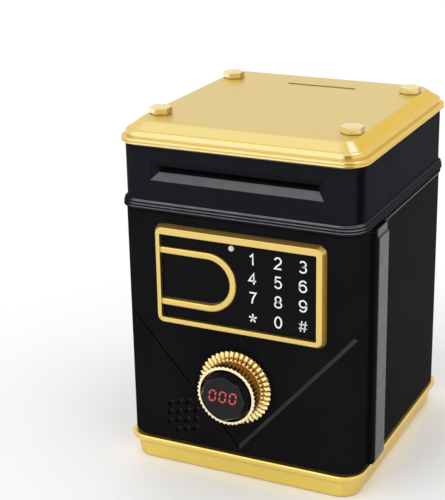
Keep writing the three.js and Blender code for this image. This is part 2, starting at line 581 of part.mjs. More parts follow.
function knobRing() {
  const skirt = loft([
    toothedRing(18.7, 0, 1.7), toothedRing(KNOB.rear, 0.8, 2.1), toothedRing(KNOB.rear, 0.8, 3.7),
    toothedRing(17.2, 0.7, 8.8), toothedRing(15.0, 0.4, 10.6), toothedRing(14.9, 0.4, 12.2),
    toothedRing(KNOB.front, 0.5, 12.5), toothedRing(KNOB.front, 0.5, KNOB.h),
  ]);
  const bore = new THREE.CylinderGeometry(13.0, 13.0, 8, 40).rotateX(Math.PI / 2).translate(0, 0, 13.0);
  const body = join(forwards(skirt), rod('y', SLEEVE.outer, FRONT - 2, BOLT.y1, 0, KNOB.z, 32));
  return cut(body, forwards(bore), rod('y', SLEEVE.inner, -FAR, DOOR_BACK, 0, KNOB.z, 32));
}

function knobPinion() {
  const teeth = (2 * PINION_R) / LATCH_MODULE;
  const shape = gearShape(teeth, LATCH_MODULE, teeth / 4);
  const wheel = facePlate(shape, BOLT.y0, BOLT.y1);
  const bored = cut(wheel, rod('y', SLEEVE.outer + GAP, -60, -50, 0, 0, 32));
  return bored.translate([0, 0, KNOB.z]);
}

function displayLens() {
  // The crown's front octagon is turned half a side against its foot, which gives triangular facets.
  const octagon = (radius, h, turn) => {
    const ring = [];
    for (let i = 0; i < 8; i += 1) {
      const angle = ((i + turn) * Math.PI) / 4;
      ring.push(new THREE.Vector3(radius * Math.cos(angle), radius * Math.sin(angle), h));
    }
    return ring;
  };
  const crown = loft([octagon(12.6, 13.2, 0.5), octagon(11.4, FACET_H, 0)]);
  const foot = new THREE.CylinderGeometry(12.6, 12.6, 3.4, 32).rotateX(Math.PI / 2).translate(0, 0, 11.7);
  const half = { x: MODULE.x + 0.4, z: MODULE.z + 0.4 };
  const pocket = block(-half.x, half.x, MODULE.front - GAP, -70, KNOB.z - half.z, KNOB.z + half.z);
  return cut(join(forwards(crown), forwards(foot)), pocket);
}

add('knob_ring', knobRing(), FINISH.gold());
add('knob_pinion', knobPinion(), FINISH.white());
add('display_hub', join(
  rod('y', SLEEVE.inner - 0.4, MODULE.back + GAP, -52.6, 0, KNOB.z, 32),
  rod('y', 12.0, -52.7, -51.7, 0, KNOB.z, 32),
), FINISH.dark());
add('display_module', block(
  -MODULE.x, MODULE.x, MODULE.front, MODULE.back, KNOB.z - MODULE.z, KNOB.z + MODULE.z,
), FINISH.red());
add('display_lens', displayLens(), FINISH.lens());

// ---------------------------------------------------------------- latch
const SOLENOID_X = -30.0;

// Rack teeth under the bolt mesh with the knob pinion straight above the knob's centre.
function latchBolt() {
  const pitch = Math.PI * LATCH_MODULE;
  const line = KNOB.z + PINION_R;
  const bar = block(BOLT.x0, BOLT.x1, BOLT.y0, BOLT.y1, BOLT.z0, BOLT.z1);
  const teeth = [];
  for (let i = -1; i <= 4; i += 1) {
    const x = (i + 0.5) * pitch;
    const tooth = new THREE.Shape();
    tooth.moveTo(x - 0.9, BOLT.z0 + 0.2);
    tooth.lineTo(x - 0.3, line - 0.85);
    tooth.lineTo(x + 0.3, line - 0.85);
    tooth.lineTo(x + 0.9, BOLT.z0 + 0.2);
    teeth.push(facePlate(tooth, BOLT.y0, BOLT.y1));
  }
  const lockHole = rod('z', 1.4, 67, 80, SOLENOID_X + 9.8, BOLT_Y, 16);
  return cut(join(bar, ...teeth), lockHole);
}

add('latch_bolt', latchBolt(), FINISH.steel());
add('solenoid_body', cut(
  block(SOLENOID_X - 6, SOLENOID_X + 6, -60.0, -51.9, 77, 93),
  rod('z', 1.4, 70, 90, SOLENOID_X, BOLT_Y, 16),
), FINISH.steel());
add('lock_plunger', rod('z', 1.1, 71.4, 85, SOLENOID_X, BOLT_Y, 16), FINISH.steel());

export default bank;
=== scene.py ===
import math
import json

import bmesh
import bpy
from mathutils import Matrix, Vector


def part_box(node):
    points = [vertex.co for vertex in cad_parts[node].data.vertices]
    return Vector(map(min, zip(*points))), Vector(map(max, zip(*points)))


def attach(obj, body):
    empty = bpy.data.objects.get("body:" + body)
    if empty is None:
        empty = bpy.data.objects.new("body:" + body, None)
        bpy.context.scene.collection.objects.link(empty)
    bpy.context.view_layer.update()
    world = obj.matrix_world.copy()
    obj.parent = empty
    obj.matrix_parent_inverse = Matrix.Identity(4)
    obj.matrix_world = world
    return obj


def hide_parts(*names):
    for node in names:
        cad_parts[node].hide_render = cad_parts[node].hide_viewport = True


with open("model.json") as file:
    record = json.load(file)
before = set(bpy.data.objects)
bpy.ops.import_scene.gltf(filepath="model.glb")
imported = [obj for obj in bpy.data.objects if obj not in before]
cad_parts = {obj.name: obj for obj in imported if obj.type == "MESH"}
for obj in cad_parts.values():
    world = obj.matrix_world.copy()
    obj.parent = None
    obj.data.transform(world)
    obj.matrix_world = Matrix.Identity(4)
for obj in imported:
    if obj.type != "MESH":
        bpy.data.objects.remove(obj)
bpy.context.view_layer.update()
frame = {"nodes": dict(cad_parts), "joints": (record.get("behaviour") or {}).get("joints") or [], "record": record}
scene = bpy.context.scene
scene.view_settings.view_transform = "Standard"

# Lengths are in millimetres until a piece is placed. The front of the bank faces -Y.
MM = 0.001
GAP = 0.3  # gap between neighbouring pieces
FAR = 90.0  # past every outer face
CORNER_STEPS = 12  # segments in each rounded upright edge

# Azimuth, elevation and roll in degrees, focal length in millimetres, place in metres.
CAMERA = {"angles": (25.94, 19.91, -1.12), "lens": 96.8, "shift": (-0.00764, -0.00823),
          "place": (0.25841, -0.60536, 0.34138)}


def extent(node):
    """A CAD node's lowest and highest corners, in millimetres."""
    low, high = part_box(node)
    return Vector(low) / MM, Vector(high) / MM


# ---------------- sizes
body_low, body_high = extent("body_shell")
door_low, door_high = extent("door_panel")
head_low, head_high = extent("head_shell")
lid_low, lid_high = extent("lid")
surround_low, surround_high = extent("keypad_frame")
panel_low, panel_high = extent("keypad_panel")
knob_low, knob_high = extent("knob_ring")
lens_low, lens_high = extent("display_lens")
pad_low, pad_high = extent("finger_pad")
bar_low, bar_high = extent("hinge_bar")
led_low, led_high = extent("indicator_led")
cap_low, cap_high = extent("hex_bolt_1")

HALF_X = body_high.x
HALF_Y = body_high.y
FRONT = -HALF_Y  # plane of the door's raised face
CORNER = 10.7  # radius of the upright edges
WALL = 2.3
DOOR_BACK = -49.0  # rear edge of the door
SIDE_FRONT = body_low.y  # front edge of the body's side walls
DOOR_SKIN = -61.2  # inner surface of the door's front wall
RIM_Z = 12.9  # top of the base tray's rim
hinge = next(joint for joint in frame["joints"] if joint["name"] == "door_hinge")
HINGE = Vector(hinge["pos_m"][:2]) / MM  # the door's axis, in x and y
BARREL = 2.2  # outer radius of the door's hinge tube
PIN = 0.95  # radius of the hinge pins

TIE = Vector((49.9, 42.0))  # the four tie bolts, from the centre line
TIE_STEM = 1.8  # radius of a tie bolt
TIE_HOLE = 2.1  # radius of the holes it goes through
TIE_BOSS = 4  # radius of the post round it
TIE_BOSS_LOW = 122  # lowest point of the posts in the body
CAP_RADIUS = 5.75  # from the middle to a corner of the hexagonal cap
BASE_SCREW = Vector((52.0, 50.0))  # the four base screws, from the centre line
BASE_SCREW_HEAD = 3.1
BASE_SCREW_HOLE = 1.6
BASE_SCREW_BOSS = 3.4
DOOR_SCREWS = [(-52.0, 22.0), (52.0, 22.0), (52.0, 128.6), (-52.0, 128.6)]
DOOR_SCREW_HOLE = 1.2
DOOR_SCREW_BOSS = 2.8

SHELF_LOW, SHELF_HIGH = 19.6, 21.6  # floor of the money space
TRAY_FLOOR = 2.4  # thickness of the base tray's bottom
BATTERY_DOOR = (-30, 30, 6.3, 57.5)  # opening in the base tray, as x and y limits
BAR_SHORTER = 1.9  # how far the bar ends before its CAD node does
HEAD_HALF_X = 62.05  # half width of the head's walls
HEAD_WALL = 2.4  # thickness of the head's walls
HEAD_FLOOR = 138.8  # top of the head's own floor
NOTE_DROP = (-38, 38, -24, 52)  # opening in that floor, as x and y limits
MOUTH = {"half": 44.9, "low": 151.6, "high": 161.7}  # note slot at the head's face
THROAT = {"half": 41.4, "low": 155.2, "high": 158.2}  # note slot at its narrow inner end
MOUTH_DEPTH = 3.0
LIP = {"x": 41.7, "half": 0.25, "end": -50, "over": 2}  # upright webs beside the throat
COIN = {"x": 2.2, "y": 39.4, "half": 18.8, "width": 3.2}

V_TIP = 16.7  # middle of the V edge, at its lowest point
V_SLOPE = 1.13  # rise of the V's arms
V_STEP = 1.5  # how far the door is set back below the V
V_CHAMFER = 2.2  # width of the slope between the two faces
V_FADE = (0.5, 0.2)  # where on the corner the step starts to run out, and over how much of it
SPEAKER = Vector((-31.7, 27.6))  # centre of the grille, in x and z
GRILLE = {"half": 2.2, "width": 1.4, "depth": 3.2, "lean": -50, "pitch": 8.6, "row": 3.0,
          "reach": 9.3}

# Hole for the keypad in the door and in its surround, as x and z limits.
WINDOW = (panel_low.x - GAP, panel_high.x + GAP, panel_low.z - GAP, panel_high.z + GAP)
SCAN = Vector((-14.15, 104.2))  # centre of the finger window's round end, in x and z
SCAN_R = 15.3  # outer radius of the ring round it
SCAN_BAR = 3.65  # width of that ring
KEY_COLUMNS = (9.3, 22.5, 35.2)
KEY_ROWS = (118.9, 109.2, 99.3, 88.9)
KEY_ROW_TEXT = ("123", "456", "789", "*0#")
KEY_SIZE = (5.5, 0.79)  # height and line width of most characters
KEY_SPECIAL = {"*": (5.4, 0.80), "#": (5.5, 0.58), "8": (5.5, 0.75), "0": (5.5, 0.80)}
KEY_NARROW = 0.92  # how much narrower the print is than its drawing
INK_ABOVE, INK_BELOW = 0.04, 0.02  # how far the ink stands out of the face and sinks into it

KNOB_Z = (knob_low.z + knob_high.z) / 2
SLEEVE = 10.2  # outer radius of the knob's tube
TEETH = 42
NECK_RADIUS = 14.4  # inside this the knob has no ribs
SKIRT_FOOT, SKIRT_TOP, RIM_FOOT = 1.75, 4.7, 12.9  # heights above the door's raised face
SKIRT_GROOVE, NECK_GROOVE, RIM_GROOVE = 1.0, 0.6, 0.25
LENS_RIM = 13.3  # height of the lens's round rim above the door's raised face
LENS_WIDER = 0.30  # how far that rim reaches past the CAD lens
LENS_FACE = 11.4  # from the middle to the corners of the lens's flat octagon
LENS_TOP = 0.08  # how far that octagon lies behind the CAD lens's front
DISPLAY_SPACE = (9.8, 5.8, -79.0)  # half width, half height and front of the space in the lens
DIGIT = {"tall": 6.2, "wide": 3.9, "thick": 0.82, "gap": 0.22, "pitch": 5.4, "up": 1.1, "slant": 8}


# ---------------- shapes
def new_object(points, faces, name="shape"):
    """A mesh object with its faces turned outwards."""
    mesh = bpy.data.meshes.new(name)
    mesh.from_pydata([tuple(point) for point in points], [], faces)
    work = bmesh.new()
    work.from_mesh(mesh)
    bmesh.ops.recalc_face_normals(work, faces=work.faces)
    work.to_mesh(mesh)
    work.free()
    obj = bpy.data.objects.new(name, mesh)
    scene.collection.objects.link(obj)
    return obj


def fillet(corners, steps=4, closed=False):
    """A path through (u, v, radius) corners, with an arc at each corner that has a radius."""
    path = []
    last = len(corners) - 1
    for i, (u, v, radius) in enumerate(corners):
        here = Vector((u, v))
        if not radius or (not closed and i in (0, last)):
            path.append(here)
            continue
        before = Vector(corners[i - 1][:2]) - here
        after = Vector(corners[(i + 1) % len(corners)][:2]) - here
        half = before.angle(after) / 2
        reach = min(radius / math.tan(half), 0.49 * before.length, 0.49 * after.length)
        radius = reach * math.tan(half)
        middle = (before.normalized() + after.normalized()).normalized()
        centre = here + middle * (radius / math.sin(half))
        start = here + before.normalized() * reach - centre
        end = here + after.normalized() * reach - centre
        angle = math.atan2(start.y, start.x)
        turn = math.atan2(end.y, end.x) - angle
        turn = (turn + math.pi) % (2 * math.pi) - math.pi
        for step in range(steps + 1):
            at = angle + turn * step / steps
            path.append(centre + Vector((math.cos(at), math.sin(at))) * radius)
    return path


def loft(rings, closed=False):
    """Skin through rings of equally many points, closed on itself or with flat ends."""
    count = len(rings[0])
    faces = []
    for level in range(len(rings) if closed else len(rings) - 1):
        a = level * count
        b = (level + 1) % len(rings) * count
        for i in range(count):
            j = (i + 1) % count
            faces.append((a + i, a + j, b + j, b + i))
    if not closed:
        end = len(rings) * count
        faces.append(tuple(range(count))[::-1])
        faces.append(tuple(range(end - count, end)))
    return new_object([point for ring in rings for point in ring], faces)


def rounded(x0, x1, y0, y1, radius, steps=CORNER_STEPS):
    """Rounded rectangle, anticlockwise from the right-hand side."""
    radius = max(radius, 0.01)
    centres = [(x1 - radius, y1 - radius), (x0 + radius, y1 - radius), (x0 + radius, y0 + radius),
               (x1 - radius, y0 + radius)]
    ring = []
    for quarter, (x, y) in enumerate(centres):
        for step in range(steps + 1):
            angle = math.pi / 2 * (quarter + step / steps)
            ring.append((x + radius * math.cos(angle), y + radius * math.sin(angle)))
    return ring


def casing(profile):
    """Box with rounded upright edges, through (inset, z) pairs measured from the body outline."""
    rings = []
    for inset, z in profile:
        outline = rounded(inset - HALF_X, HALF_X - inset, inset - HALF_Y, HALF_Y - inset,
                          CORNER - inset / 2)
        rings.append([(x, y, z) for x, y in outline])
    return loft(rings)


def block(x0, x1, y0, y1, z0, z1):
    rings = [[(x0, y0, z), (x1, y0, z), (x1, y1, z), (x0, y1, z)] for z in (z0, z1)]
    return loft(rings)


def rod(axis, radius, low, high, u, v, sides=48):
    """Round bar along one axis; u and v are the other two coordinates of its centre line."""
    rings = []
    for along in (low, high):
        ring = []
        for i in range(sides):
            angle = 2 * math.pi * i / sides
            a = u + radius * math.cos(angle)
            b = v + radius * math.sin(angle)
            ring.append({"x": (along, a, b), "y": (a, along, b), "z": (a, b, along)}[axis])
        rings.append(ring)
    return loft(rings)


def rods(axis, radius, low, high, places, sides=48):
    return [rod(axis, radius, low, high, u, v, sides) for u, v in places]


def front_plate(outlines, closed=False):
    """Loft of (y, outline) pairs, with each outline given in X and Z."""
    return loft([[(x, y, z) for x, z in outline] for y, outline in outlines], closed)


def turned(path, shape, sides, centre, closed=False):
    """Skin through (radius, y) pairs round an axis along Y; shape moves each point of it."""
    rings = []
    for radius, y in path:
        ring = []
        for i in range(sides):
            angle = 2 * math.pi * i / sides
            r, along = shape(radius, y, angle)
            ring.append((centre.x + r * math.cos(angle), along, centre.y + r * math.sin(angle)))
        rings.append(ring)
    return loft(rings, closed)


def evaluated(obj):
    """Makes the modifiers' result the object's own mesh."""
    graph = bpy.context.evaluated_depsgraph_get()
    mesh = bpy.data.meshes.new_from_object(obj.evaluated_get(graph))
    obj.modifiers.clear()
    obj.data = mesh


def combine(target, operation, tools):
    for tool in tools:
        added = target.modifiers.new("combine", "BOOLEAN")
        added.operation = operation
        added.solver = "EXACT"
        added.object = tool
    evaluated(target)
    for tool in tools:
        bpy.data.objects.remove(tool)
    return target


def join(target, *tools):
    return combine(target, "UNION", tools)


def cut(target, *tools):
    return combine(target, "DIFFERENCE", tools)


def soften(obj, width, segments=2, angle=30):
    """Rounds the edges that are sharper than the angle."""
    cleaned = bmesh.new()
    cleaned.from_mesh(obj.data)
    bmesh.ops.remove_doubles(cleaned, verts=cleaned.verts, dist=0.002)
    bmesh.ops.dissolve_limit(cleaned, angle_limit=math.radians(0.4), verts=cleaned.verts,
                             edges=cleaned.edges)
    cleaned.to_mesh(obj.data)
    cleaned.free()
    edge = obj.modifiers.new("edge", "BEVEL")
    edge.width = width
    edge.segments = segments
    edge.limit_method = "ANGLE"
    edge.angle_limit = math.radians(angle)
    edge.miter_outer = "MITER_ARC"
    evaluated(obj)
    return obj


def place(obj, name, slot, body, *nodes, finish=None, sharp=38):
    """Names a piece, gives it a finish, and lets it ride on a body in place of its CAD nodes."""
    obj.name = name
    obj.data.name = name
    obj.data.transform(Matrix.Scale(MM, 4))
    obj.data.materials.clear()
    obj.data.materials.append(finish or FINISH[slot])
    obj.data.shade_smooth()
    obj.data.set_sharp_from_angle(angle=math.radians(sharp))
    weighted = obj.modifiers.new("flat faces", "WEIGHTED_NORMAL")
    weighted.keep_sharp = True
    weighted.weight = 100
    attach(obj, body)
    if nodes:
        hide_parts(*nodes)
    return obj


# ---------------- materials
class Nodes:
    """A node material with a Principled shader, and the few patterns that the finishes share."""

    def __init__(self, name):
        self.material = bpy.data.materials.new(name)
        self.material.use_nodes = True
        self.tree = self.material.node_tree
        self.shader = self.tree.nodes["Principled BSDF"]
        self.coordinates = self.add("ShaderNodeTexCoord")
        self.place = self.coordinates.outputs["Object"]

    def add(self, kind, **inputs):
        made = self.tree.nodes.new(kind)
        for key, value in inputs.items():
            made.inputs[key.replace("_", " ")].default_value = value
        return made

    def link(self, source, target):
        self.tree.links.new(source, target)

    def set(self, **inputs):
        for key, value in inputs.items():
            self.shader.inputs[key.replace("_", " ")].default_value = value

    def noise(self, size, detail, stretch=(1, 1, 1)):
        """Noise whose features are about size millimetres across, stretched along each axis."""
        scaled = self.add("ShaderNodeMapping", Scale=[1 / factor for factor in stretch])
        self.link(self.place, scaled.inputs["Vector"])
        noise = self.add("ShaderNodeTexNoise", Scale=1 / (size * MM), Detail=detail)
        self.link(scaled.outputs["Vector"], noise.inputs["Vector"])
        return noise.outputs["Fac"]

    def spread(self, value, low, high, start=0.3, end=0.7):
        """Goes from low to high as the value goes from start to end."""
        ranged = self.add("ShaderNodeMapRange", From_Min=start, From_Max=end, To_Min=low, To_Max=high)
        self.link(value, ranged.inputs["Value"])
        return ranged.outputs["Result"]

    def uneven(self, size, detail, low, high):
        """Between low and high, in patches about size millimetres across."""
        return self.spread(self.noise(size, detail), low, high)

    def tint(self, value, *colours, start=0.3, end=0.7):
        """Runs through the colours as the value goes from start to end."""
        ramp = self.add("ShaderNodeValToRGB")
        elements = ramp.color_ramp.elements
        while len(elements) < len(colours):
            elements.new(0.5)
        for i, colour in enumerate(colours):
            elements[i].position = start + (end - start) * i / (len(colours) - 1)
            elements[i].color = (*colour, 1)
        self.link(value, ramp.inputs["Fac"])
        return ramp.outputs["Color"]

    def dot(self, normal):
        """A dot product with the normal, whose second input is still open."""
        dot = self.add("ShaderNodeVectorMath")
        dot.operation = "DOT_PRODUCT"
        self.link(normal, dot.inputs[0])
        return dot

    def edges(self, radius):
        """Near 1 along rounded edges within radius millimetres, 0 on flat faces."""
        soft = self.add("ShaderNodeBevel", Radius=radius * MM)
        soft.samples = 4
        dot = self.dot(soft.outputs["Normal"])
        self.link(self.add("ShaderNodeNewGeometry").outputs["Normal"], dot.inputs[1])
        return self.spread(dot.outputs["Value"], 1.0, 0.0, 0.72, 0.995)

    def facing(self, direction, start, end):
        """Rises from 0 to 1 as a face of the piece turns towards the direction."""
        dot = self.dot(self.coordinates.outputs["Normal"])
        dot.inputs[1].default_value = Vector(direction).normalized()
        return self.spread(dot.outputs["Value"], 0.0, 1.0, start, end)

    def mix_wear_and_painted_light(self, colour, mask, paint, patches):
        """Mixes paint into colour where the mask meets the patches, for wear and for painted light and shade."""
        amount = self.add("ShaderNodeMath")
        amount.operation = "MULTIPLY"
        self.link(mask, amount.inputs[0])
        self.link(patches, amount.inputs[1])
        mix = self.add("ShaderNodeMix")
        mix.data_type = "RGBA"
        self.link(amount.outputs["Value"], mix.inputs[0])
        self.link(colour, mix.inputs[6])
        mix.inputs[7].default_value = (*paint, 1)
        return mix.outputs[2]

    def painted(self, colour, entries, size, detail, low):
        """Paints light and shade on the faces that turn to each entry's direction, a little unevenly.

        An entry is a direction, the two cosines between which the paint comes in, and its colour.
        """
        for direction, start, end, paint in entries:
            mask = self.facing(direction, start, end)
            colour = self.mix_wear_and_painted_light(colour, mask, paint, self.uneven(size, detail, low, 1.0))
        return colour

    def relief(self, *layers):
        """Bump from (value, depth in millimetres) layers, one on top of the other."""
        normal = None
        for value, depth in layers:
            bump = self.add("ShaderNodeBump", Distance=depth * MM, Strength=1.0)
            self.link(value, bump.inputs["Height"])
            if normal:
                self.link(normal, bump.inputs["Normal"])
            normal = bump.outputs["Normal"]
        self.link(normal, self.shader.inputs["Normal"])

    def finish(self, colour, roughness):
        self.link(colour, self.shader.inputs["Base Color"])
        self.link(roughness, self.shader.inputs["Roughness"])
        return self.material


def gold_plastic(name, *painted_shading):
    """Satin gold lacquer over plastic: faint brushed streaks under a thin clear coat, and painted light and shade
    on the faces that turn a given way.
    """
    n = Nodes(name)
    n.set(Metallic=1.0, Coat_Weight=0.3, Coat_Roughness=0.22, Coat_IOR=1.45)
    colour = n.tint(n.noise(22, 3), (0.76, 0.54, 0.13), (0.81, 0.59, 0.16), (0.785, 0.56, 0.14))
    colour = n.mix_wear_and_painted_light(colour, n.edges(0.5), (0.95, 0.82, 0.48), n.uneven(2.5, 4, 0.1, 0.6))
    # Painted light and shade on the faces that turn each listed way.
    colour = n.painted(colour, painted_shading, 5, 3, 0.92)
    n.relief((n.noise(0.35, 3, (14, 14, 1)), 0.0007), (n.noise(0.18, 2), 0.0003))
    return n.finish(colour, n.uneven(3.0, 5, 0.37, 0.41))


def gold_plated():
    """Polished gold plating, with painted shade in the grooves and round the neck, and painted highlights on the
    edges and the front rim.
    """
    n = Nodes("gold_plated")
    n.set(Metallic=1.0)
    colour = n.tint(n.noise(7, 3), (0.93, 0.73, 0.33), (0.98, 0.80, 0.40))
    # Painted highlights along the edges and ridges.
    colour = n.mix_wear_and_painted_light(colour, n.edges(0.3), (1.0, 0.93, 0.70), n.uneven(1.5, 3, 0.5, 1.0))
    # Painted shade in the grooves and crevices, from ambient occlusion.
    groove_shade_ao = n.add("ShaderNodeAmbientOcclusion", Distance=1.2 * MM)
    groove_shade_ao.samples = 6
    shade = n.spread(groove_shade_ao.outputs["AO"], 1.0, 0.0, 0.45, 0.88)
    colour = n.mix_wear_and_painted_light(colour, shade, (0.17, 0.075, 0.012), n.uneven(2, 2, 0.8, 1.0))
    axes = n.add("ShaderNodeSeparateXYZ")
    n.link(n.place, axes.inputs[0])

    def between(low, high, start, end):
        """Goes from low to high between two heights above the door's raised face."""
        return n.spread(axes.outputs["Y"], low, high, (FRONT - start) * MM, (FRONT - end) * MM)

    # Painted shade round the neck, between the skirt and the front rim.
    colour = n.mix_wear_and_painted_light(colour, between(0.0, 1.0, 12.2, 11.6), (0.26, 0.115, 0.020),
                    between(1.0, 0.0, 5.4, 4.6))
    # Painted highlight on the front rim.
    colour = n.mix_wear_and_painted_light(colour, between(1.0, 0.0, 12.9, 12.4), (1.0, 0.90, 0.60),
                    n.uneven(3, 2, 0.7, 1.0))
    n.relief((n.noise(0.5, 3), 0.003))
    return n.finish(colour, n.uneven(1.6, 4, 0.12, 0.20))


def pale_gold():
    """Pale gold lacquer on the caps, with painted light and shade that differ on each side."""
    n = Nodes("pale_gold")
    n.set(Metallic=1.0, Coat_Weight=0.2, Coat_Roughness=0.2)
    colour = n.tint(n.noise(6, 3), (0.80, 0.62, 0.22), (0.85, 0.67, 0.27))
    # Painted light on the tops, painted shade on the right sides and a painted highlight on the front-left sides.
    top = ((0, 0, 1), 0.5, 0.9, (0.84, 0.70, 0.36))
    right = ((1, 0, 0), 0.85, 0.97, (0.50, 0.33, 0.10))
    left = ((-0.5, -0.866, 0), 0.90, 0.98, (0.98, 0.90, 0.56))
    colour = n.painted(colour, [top], 4, 2, 0.8)
    colour = n.painted(colour, [right, left], 2, 2, 0.8)
    colour = n.mix_wear_and_painted_light(colour, n.edges(0.4), (0.96, 0.90, 0.70), n.uneven(1.2, 3, 0.1, 0.6))
    n.relief((n.noise(0.3, 3), 0.004))
    return n.finish(colour, n.uneven(1.5, 4, 0.28, 0.4))


def black(name, base, level, low, high, edge_wear_and_highlight, *polished):
    """Moulded black plastic: fine grain, faint flow marks, edges lightened by wear and a painted highlight, and
    painted light and shade on faces that turn a given way.

    Level is the specular level, low and high limit the roughness, and the sixth argument lightens the edges as
    wear and painted highlight.
    """
    n = Nodes(name)
    n.set(Specular_IOR_Level=level)
    colour = n.tint(n.noise(30, 3), base, [1.3 * value for value in base])
    # Edges lightened by wear and by a painted highlight.
    worn_and_highlit_edge = [value + edge_wear_and_highlight for value in base]
    colour = n.mix_wear_and_painted_light(colour, n.edges(0.45), worn_and_highlit_edge, n.uneven(3, 5, 0.2, 1.0))
    # Painted light and shade on faces that turn a given way.
    colour = n.painted(colour, polished, 6, 3, 0.75)
    n.relief((n.noise(0.22, 2), 0.0004))
    return n.finish(colour, n.uneven(4, 5, low, high))


def plain(name, cloud, dark, light, grain, depth, rough, glows=False, **inputs):
    """Two close shades over a fine grain; cloud and grain are noise, rough is uneven roughness."""
    n = Nodes(name)
    n.set(**inputs)
    colour = n.tint(n.noise(*cloud), dark, light)
    if glows:
        n.link(colour, n.shader.inputs["Emission Color"])
    n.relief((n.noise(*grain), depth))
    return n.finish(colour, n.uneven(*rough))


def circuit_board():
    """Green solder mask over copper tracks."""
    n = Nodes("circuit_board")
    cells = n.add("ShaderNodeTexVoronoi", Scale=1 / (2.6 * MM), Randomness=0.55)
    cells.feature = "DISTANCE_TO_EDGE"
    n.link(n.place, cells.inputs["Vector"])
    tracks = n.spread(cells.outputs["Distance"], 1.0, 0.0, 0.02, 0.07)
    colour = n.tint(tracks, (0.016, 0.105, 0.045), (0.05, 0.22, 0.10), start=0.2, end=0.8)
    n.set(Coat_Weight=0.5, Coat_Roughness=0.1)
    n.relief((tracks, 0.03))
    return n.finish(colour, n.uneven(1, 3, 0.3, 0.45))


def dark_lens():
    """Smoked lens: a clear flat face, darker facets round it, and painted highlights as thin pale edges between
    them.
    """
    n = Nodes("dark_lens")
    colour = n.tint(n.noise(8, 2), (0.003, 0.003, 0.004), (0.006, 0.006, 0.007))
    # Painted highlights: thin pale edges between the flat face and the facets.
    between = n.facing((0, -1, 0), 0.58, 0.66)
    slope = n.facing((0, -1, 0), 0.985, 0.96)
    colour = n.mix_wear_and_painted_light(colour, between, (0.13, 0.135, 0.145), slope)
    n.link(n.spread(slope, 0.22, 0.035, 0, 1), n.shader.inputs["Specular IOR Level"])
    n.relief((n.noise(5, 2), 0.004))
    return n.finish(colour, n.uneven(2.5, 4, 0.04, 0.09))


def display_red():
    """Lit segments as they show through smoked plastic, a little uneven along each bar."""
    n = Nodes("display_red")
    glow = n.noise(1.1, 2)
    lit = n.tint(glow, (0.80, 0.055, 0.09), (1.0, 0.17, 0.21))
    n.link(lit, n.shader.inputs["Emission Color"])
    n.set(Emission_Strength=0.42)
    colour = n.tint(glow, (0.20, 0.01, 0.015), (0.30, 0.02, 0.025))
    n.relief((n.noise(0.4, 1), 0.004))
    return n.finish(colour, n.uneven(0.8, 2, 0.25, 0.4))


SHELL_BLACK = (0.0068, 0.0068, 0.0078)
PANEL_BLACK = (0.0050, 0.0050, 0.0056)
# Finishes by the record's material slots.
FINISH = {
    "gold_plastic": gold_plastic("gold_plastic"),
    "gold_plated": gold_plated(),
    "pale_gold": pale_gold(),
    "black_plastic": black("black_plastic", SHELL_BLACK, 0.002, 0.30, 0.36, 0.010,
                           # Painted highlight on the flared lip at the top of the body's right wall.
                           ((0.844, 0, -0.537), 0.97, 0.995, (0.34, 0.34, 0.35))),
    "black_panel": black("black_panel", PANEL_BLACK, 0.03, 0.18, 0.24, 0.01),
    "bar_plastic": black("bar_plastic", (0.0035, 0.0036, 0.0040), 0.08, 0.22, 0.30, 0.03,
                         # Painted sheen on the bar's outer face.
                         ((1, 0, 0), 0.6, 0.98, (0.105, 0.107, 0.113)),
                         # Painted highlight along its rear rounded edge.
                         ((0.96, 0.28, 0), 0.985, 0.998, (0.20, 0.20, 0.21))),
    "inner_plastic": black("inner_plastic", (0.018, 0.018, 0.019), 0.35, 0.45, 0.6, 0.02),
    "white_plastic": plain("white_plastic", (9, 3), (0.70, 0.69, 0.64), (0.78, 0.77, 0.73),
                           (0.4, 2), 0.003, (2, 4, 0.42, 0.56)),
    "circuit_board": circuit_board(),
    "dark_lens": dark_lens(),
    "display_red": display_red(),
    "led_white": plain("led_white", (0.9, 3), (0.62, 0.55, 0.52), (0.78, 0.72, 0.68),
                       (0.25, 2), 0.01, (0.6, 2, 0.2, 0.4), glows=True,
                       Transmission_Weight=0.15, Emission_Strength=0.12),
    "steel": plain("steel", (5, 4), (0.52, 0.53, 0.55), (0.66, 0.67, 0.69),
                   (0.12, 3, (1, 1, 20)), 0.003, (1.3, 4, 0.24, 0.42), Metallic=1.0),
    "rubber": plain("rubber", (2, 4), (0.018, 0.017, 0.017), (0.035, 0.033, 0.032),
                    (0.35, 3), 0.02, (1, 3, 0.7, 0.9), Specular_IOR_Level=0.3),
}

# Finishes for one piece each, with light and shade painted on the faces that turn a given way.
INK = plain("printed_white", (0.7, 4), (0.78, 0.78, 0.78), (0.90, 0.90, 0.90),
            (0.15, 2), 0.003, (0.5, 3, 0.4, 0.6))
DOOR_BLACK = black(
    "door_plastic", SHELL_BLACK, 0.0, 0.30, 0.36, 0.006,
    ((0.419, -0.829, -0.371), 0.97, 0.995, (0.040, 0.040, 0.042)),  # painted highlight on the right arm of the V
    ((0.703, -0.649, -0.29), 0.97, 0.99, (0.044, 0.044, 0.046)),  # painted highlight where it ends on the corner
    ((-0.22, -0.957, -0.195), 0.988, 0.997, (0.034, 0.034, 0.036)),  # painted highlight on the left arm's upper edge
    ((-0.419, -0.829, -0.371), 0.97, 0.995, (0.001, 0.001, 0.001)),  # painted shade on the left arm of the V
    ((-0.703, -0.649, -0.29), 0.97, 0.99, (0.001, 0.001, 0.001)),  # painted shade where it ends on the corner
    ((-0.378, -0.809, -0.450), 0.9985, 0.9995, (0.060, 0.060, 0.064)))  # painted highlight on the ramps of the grille
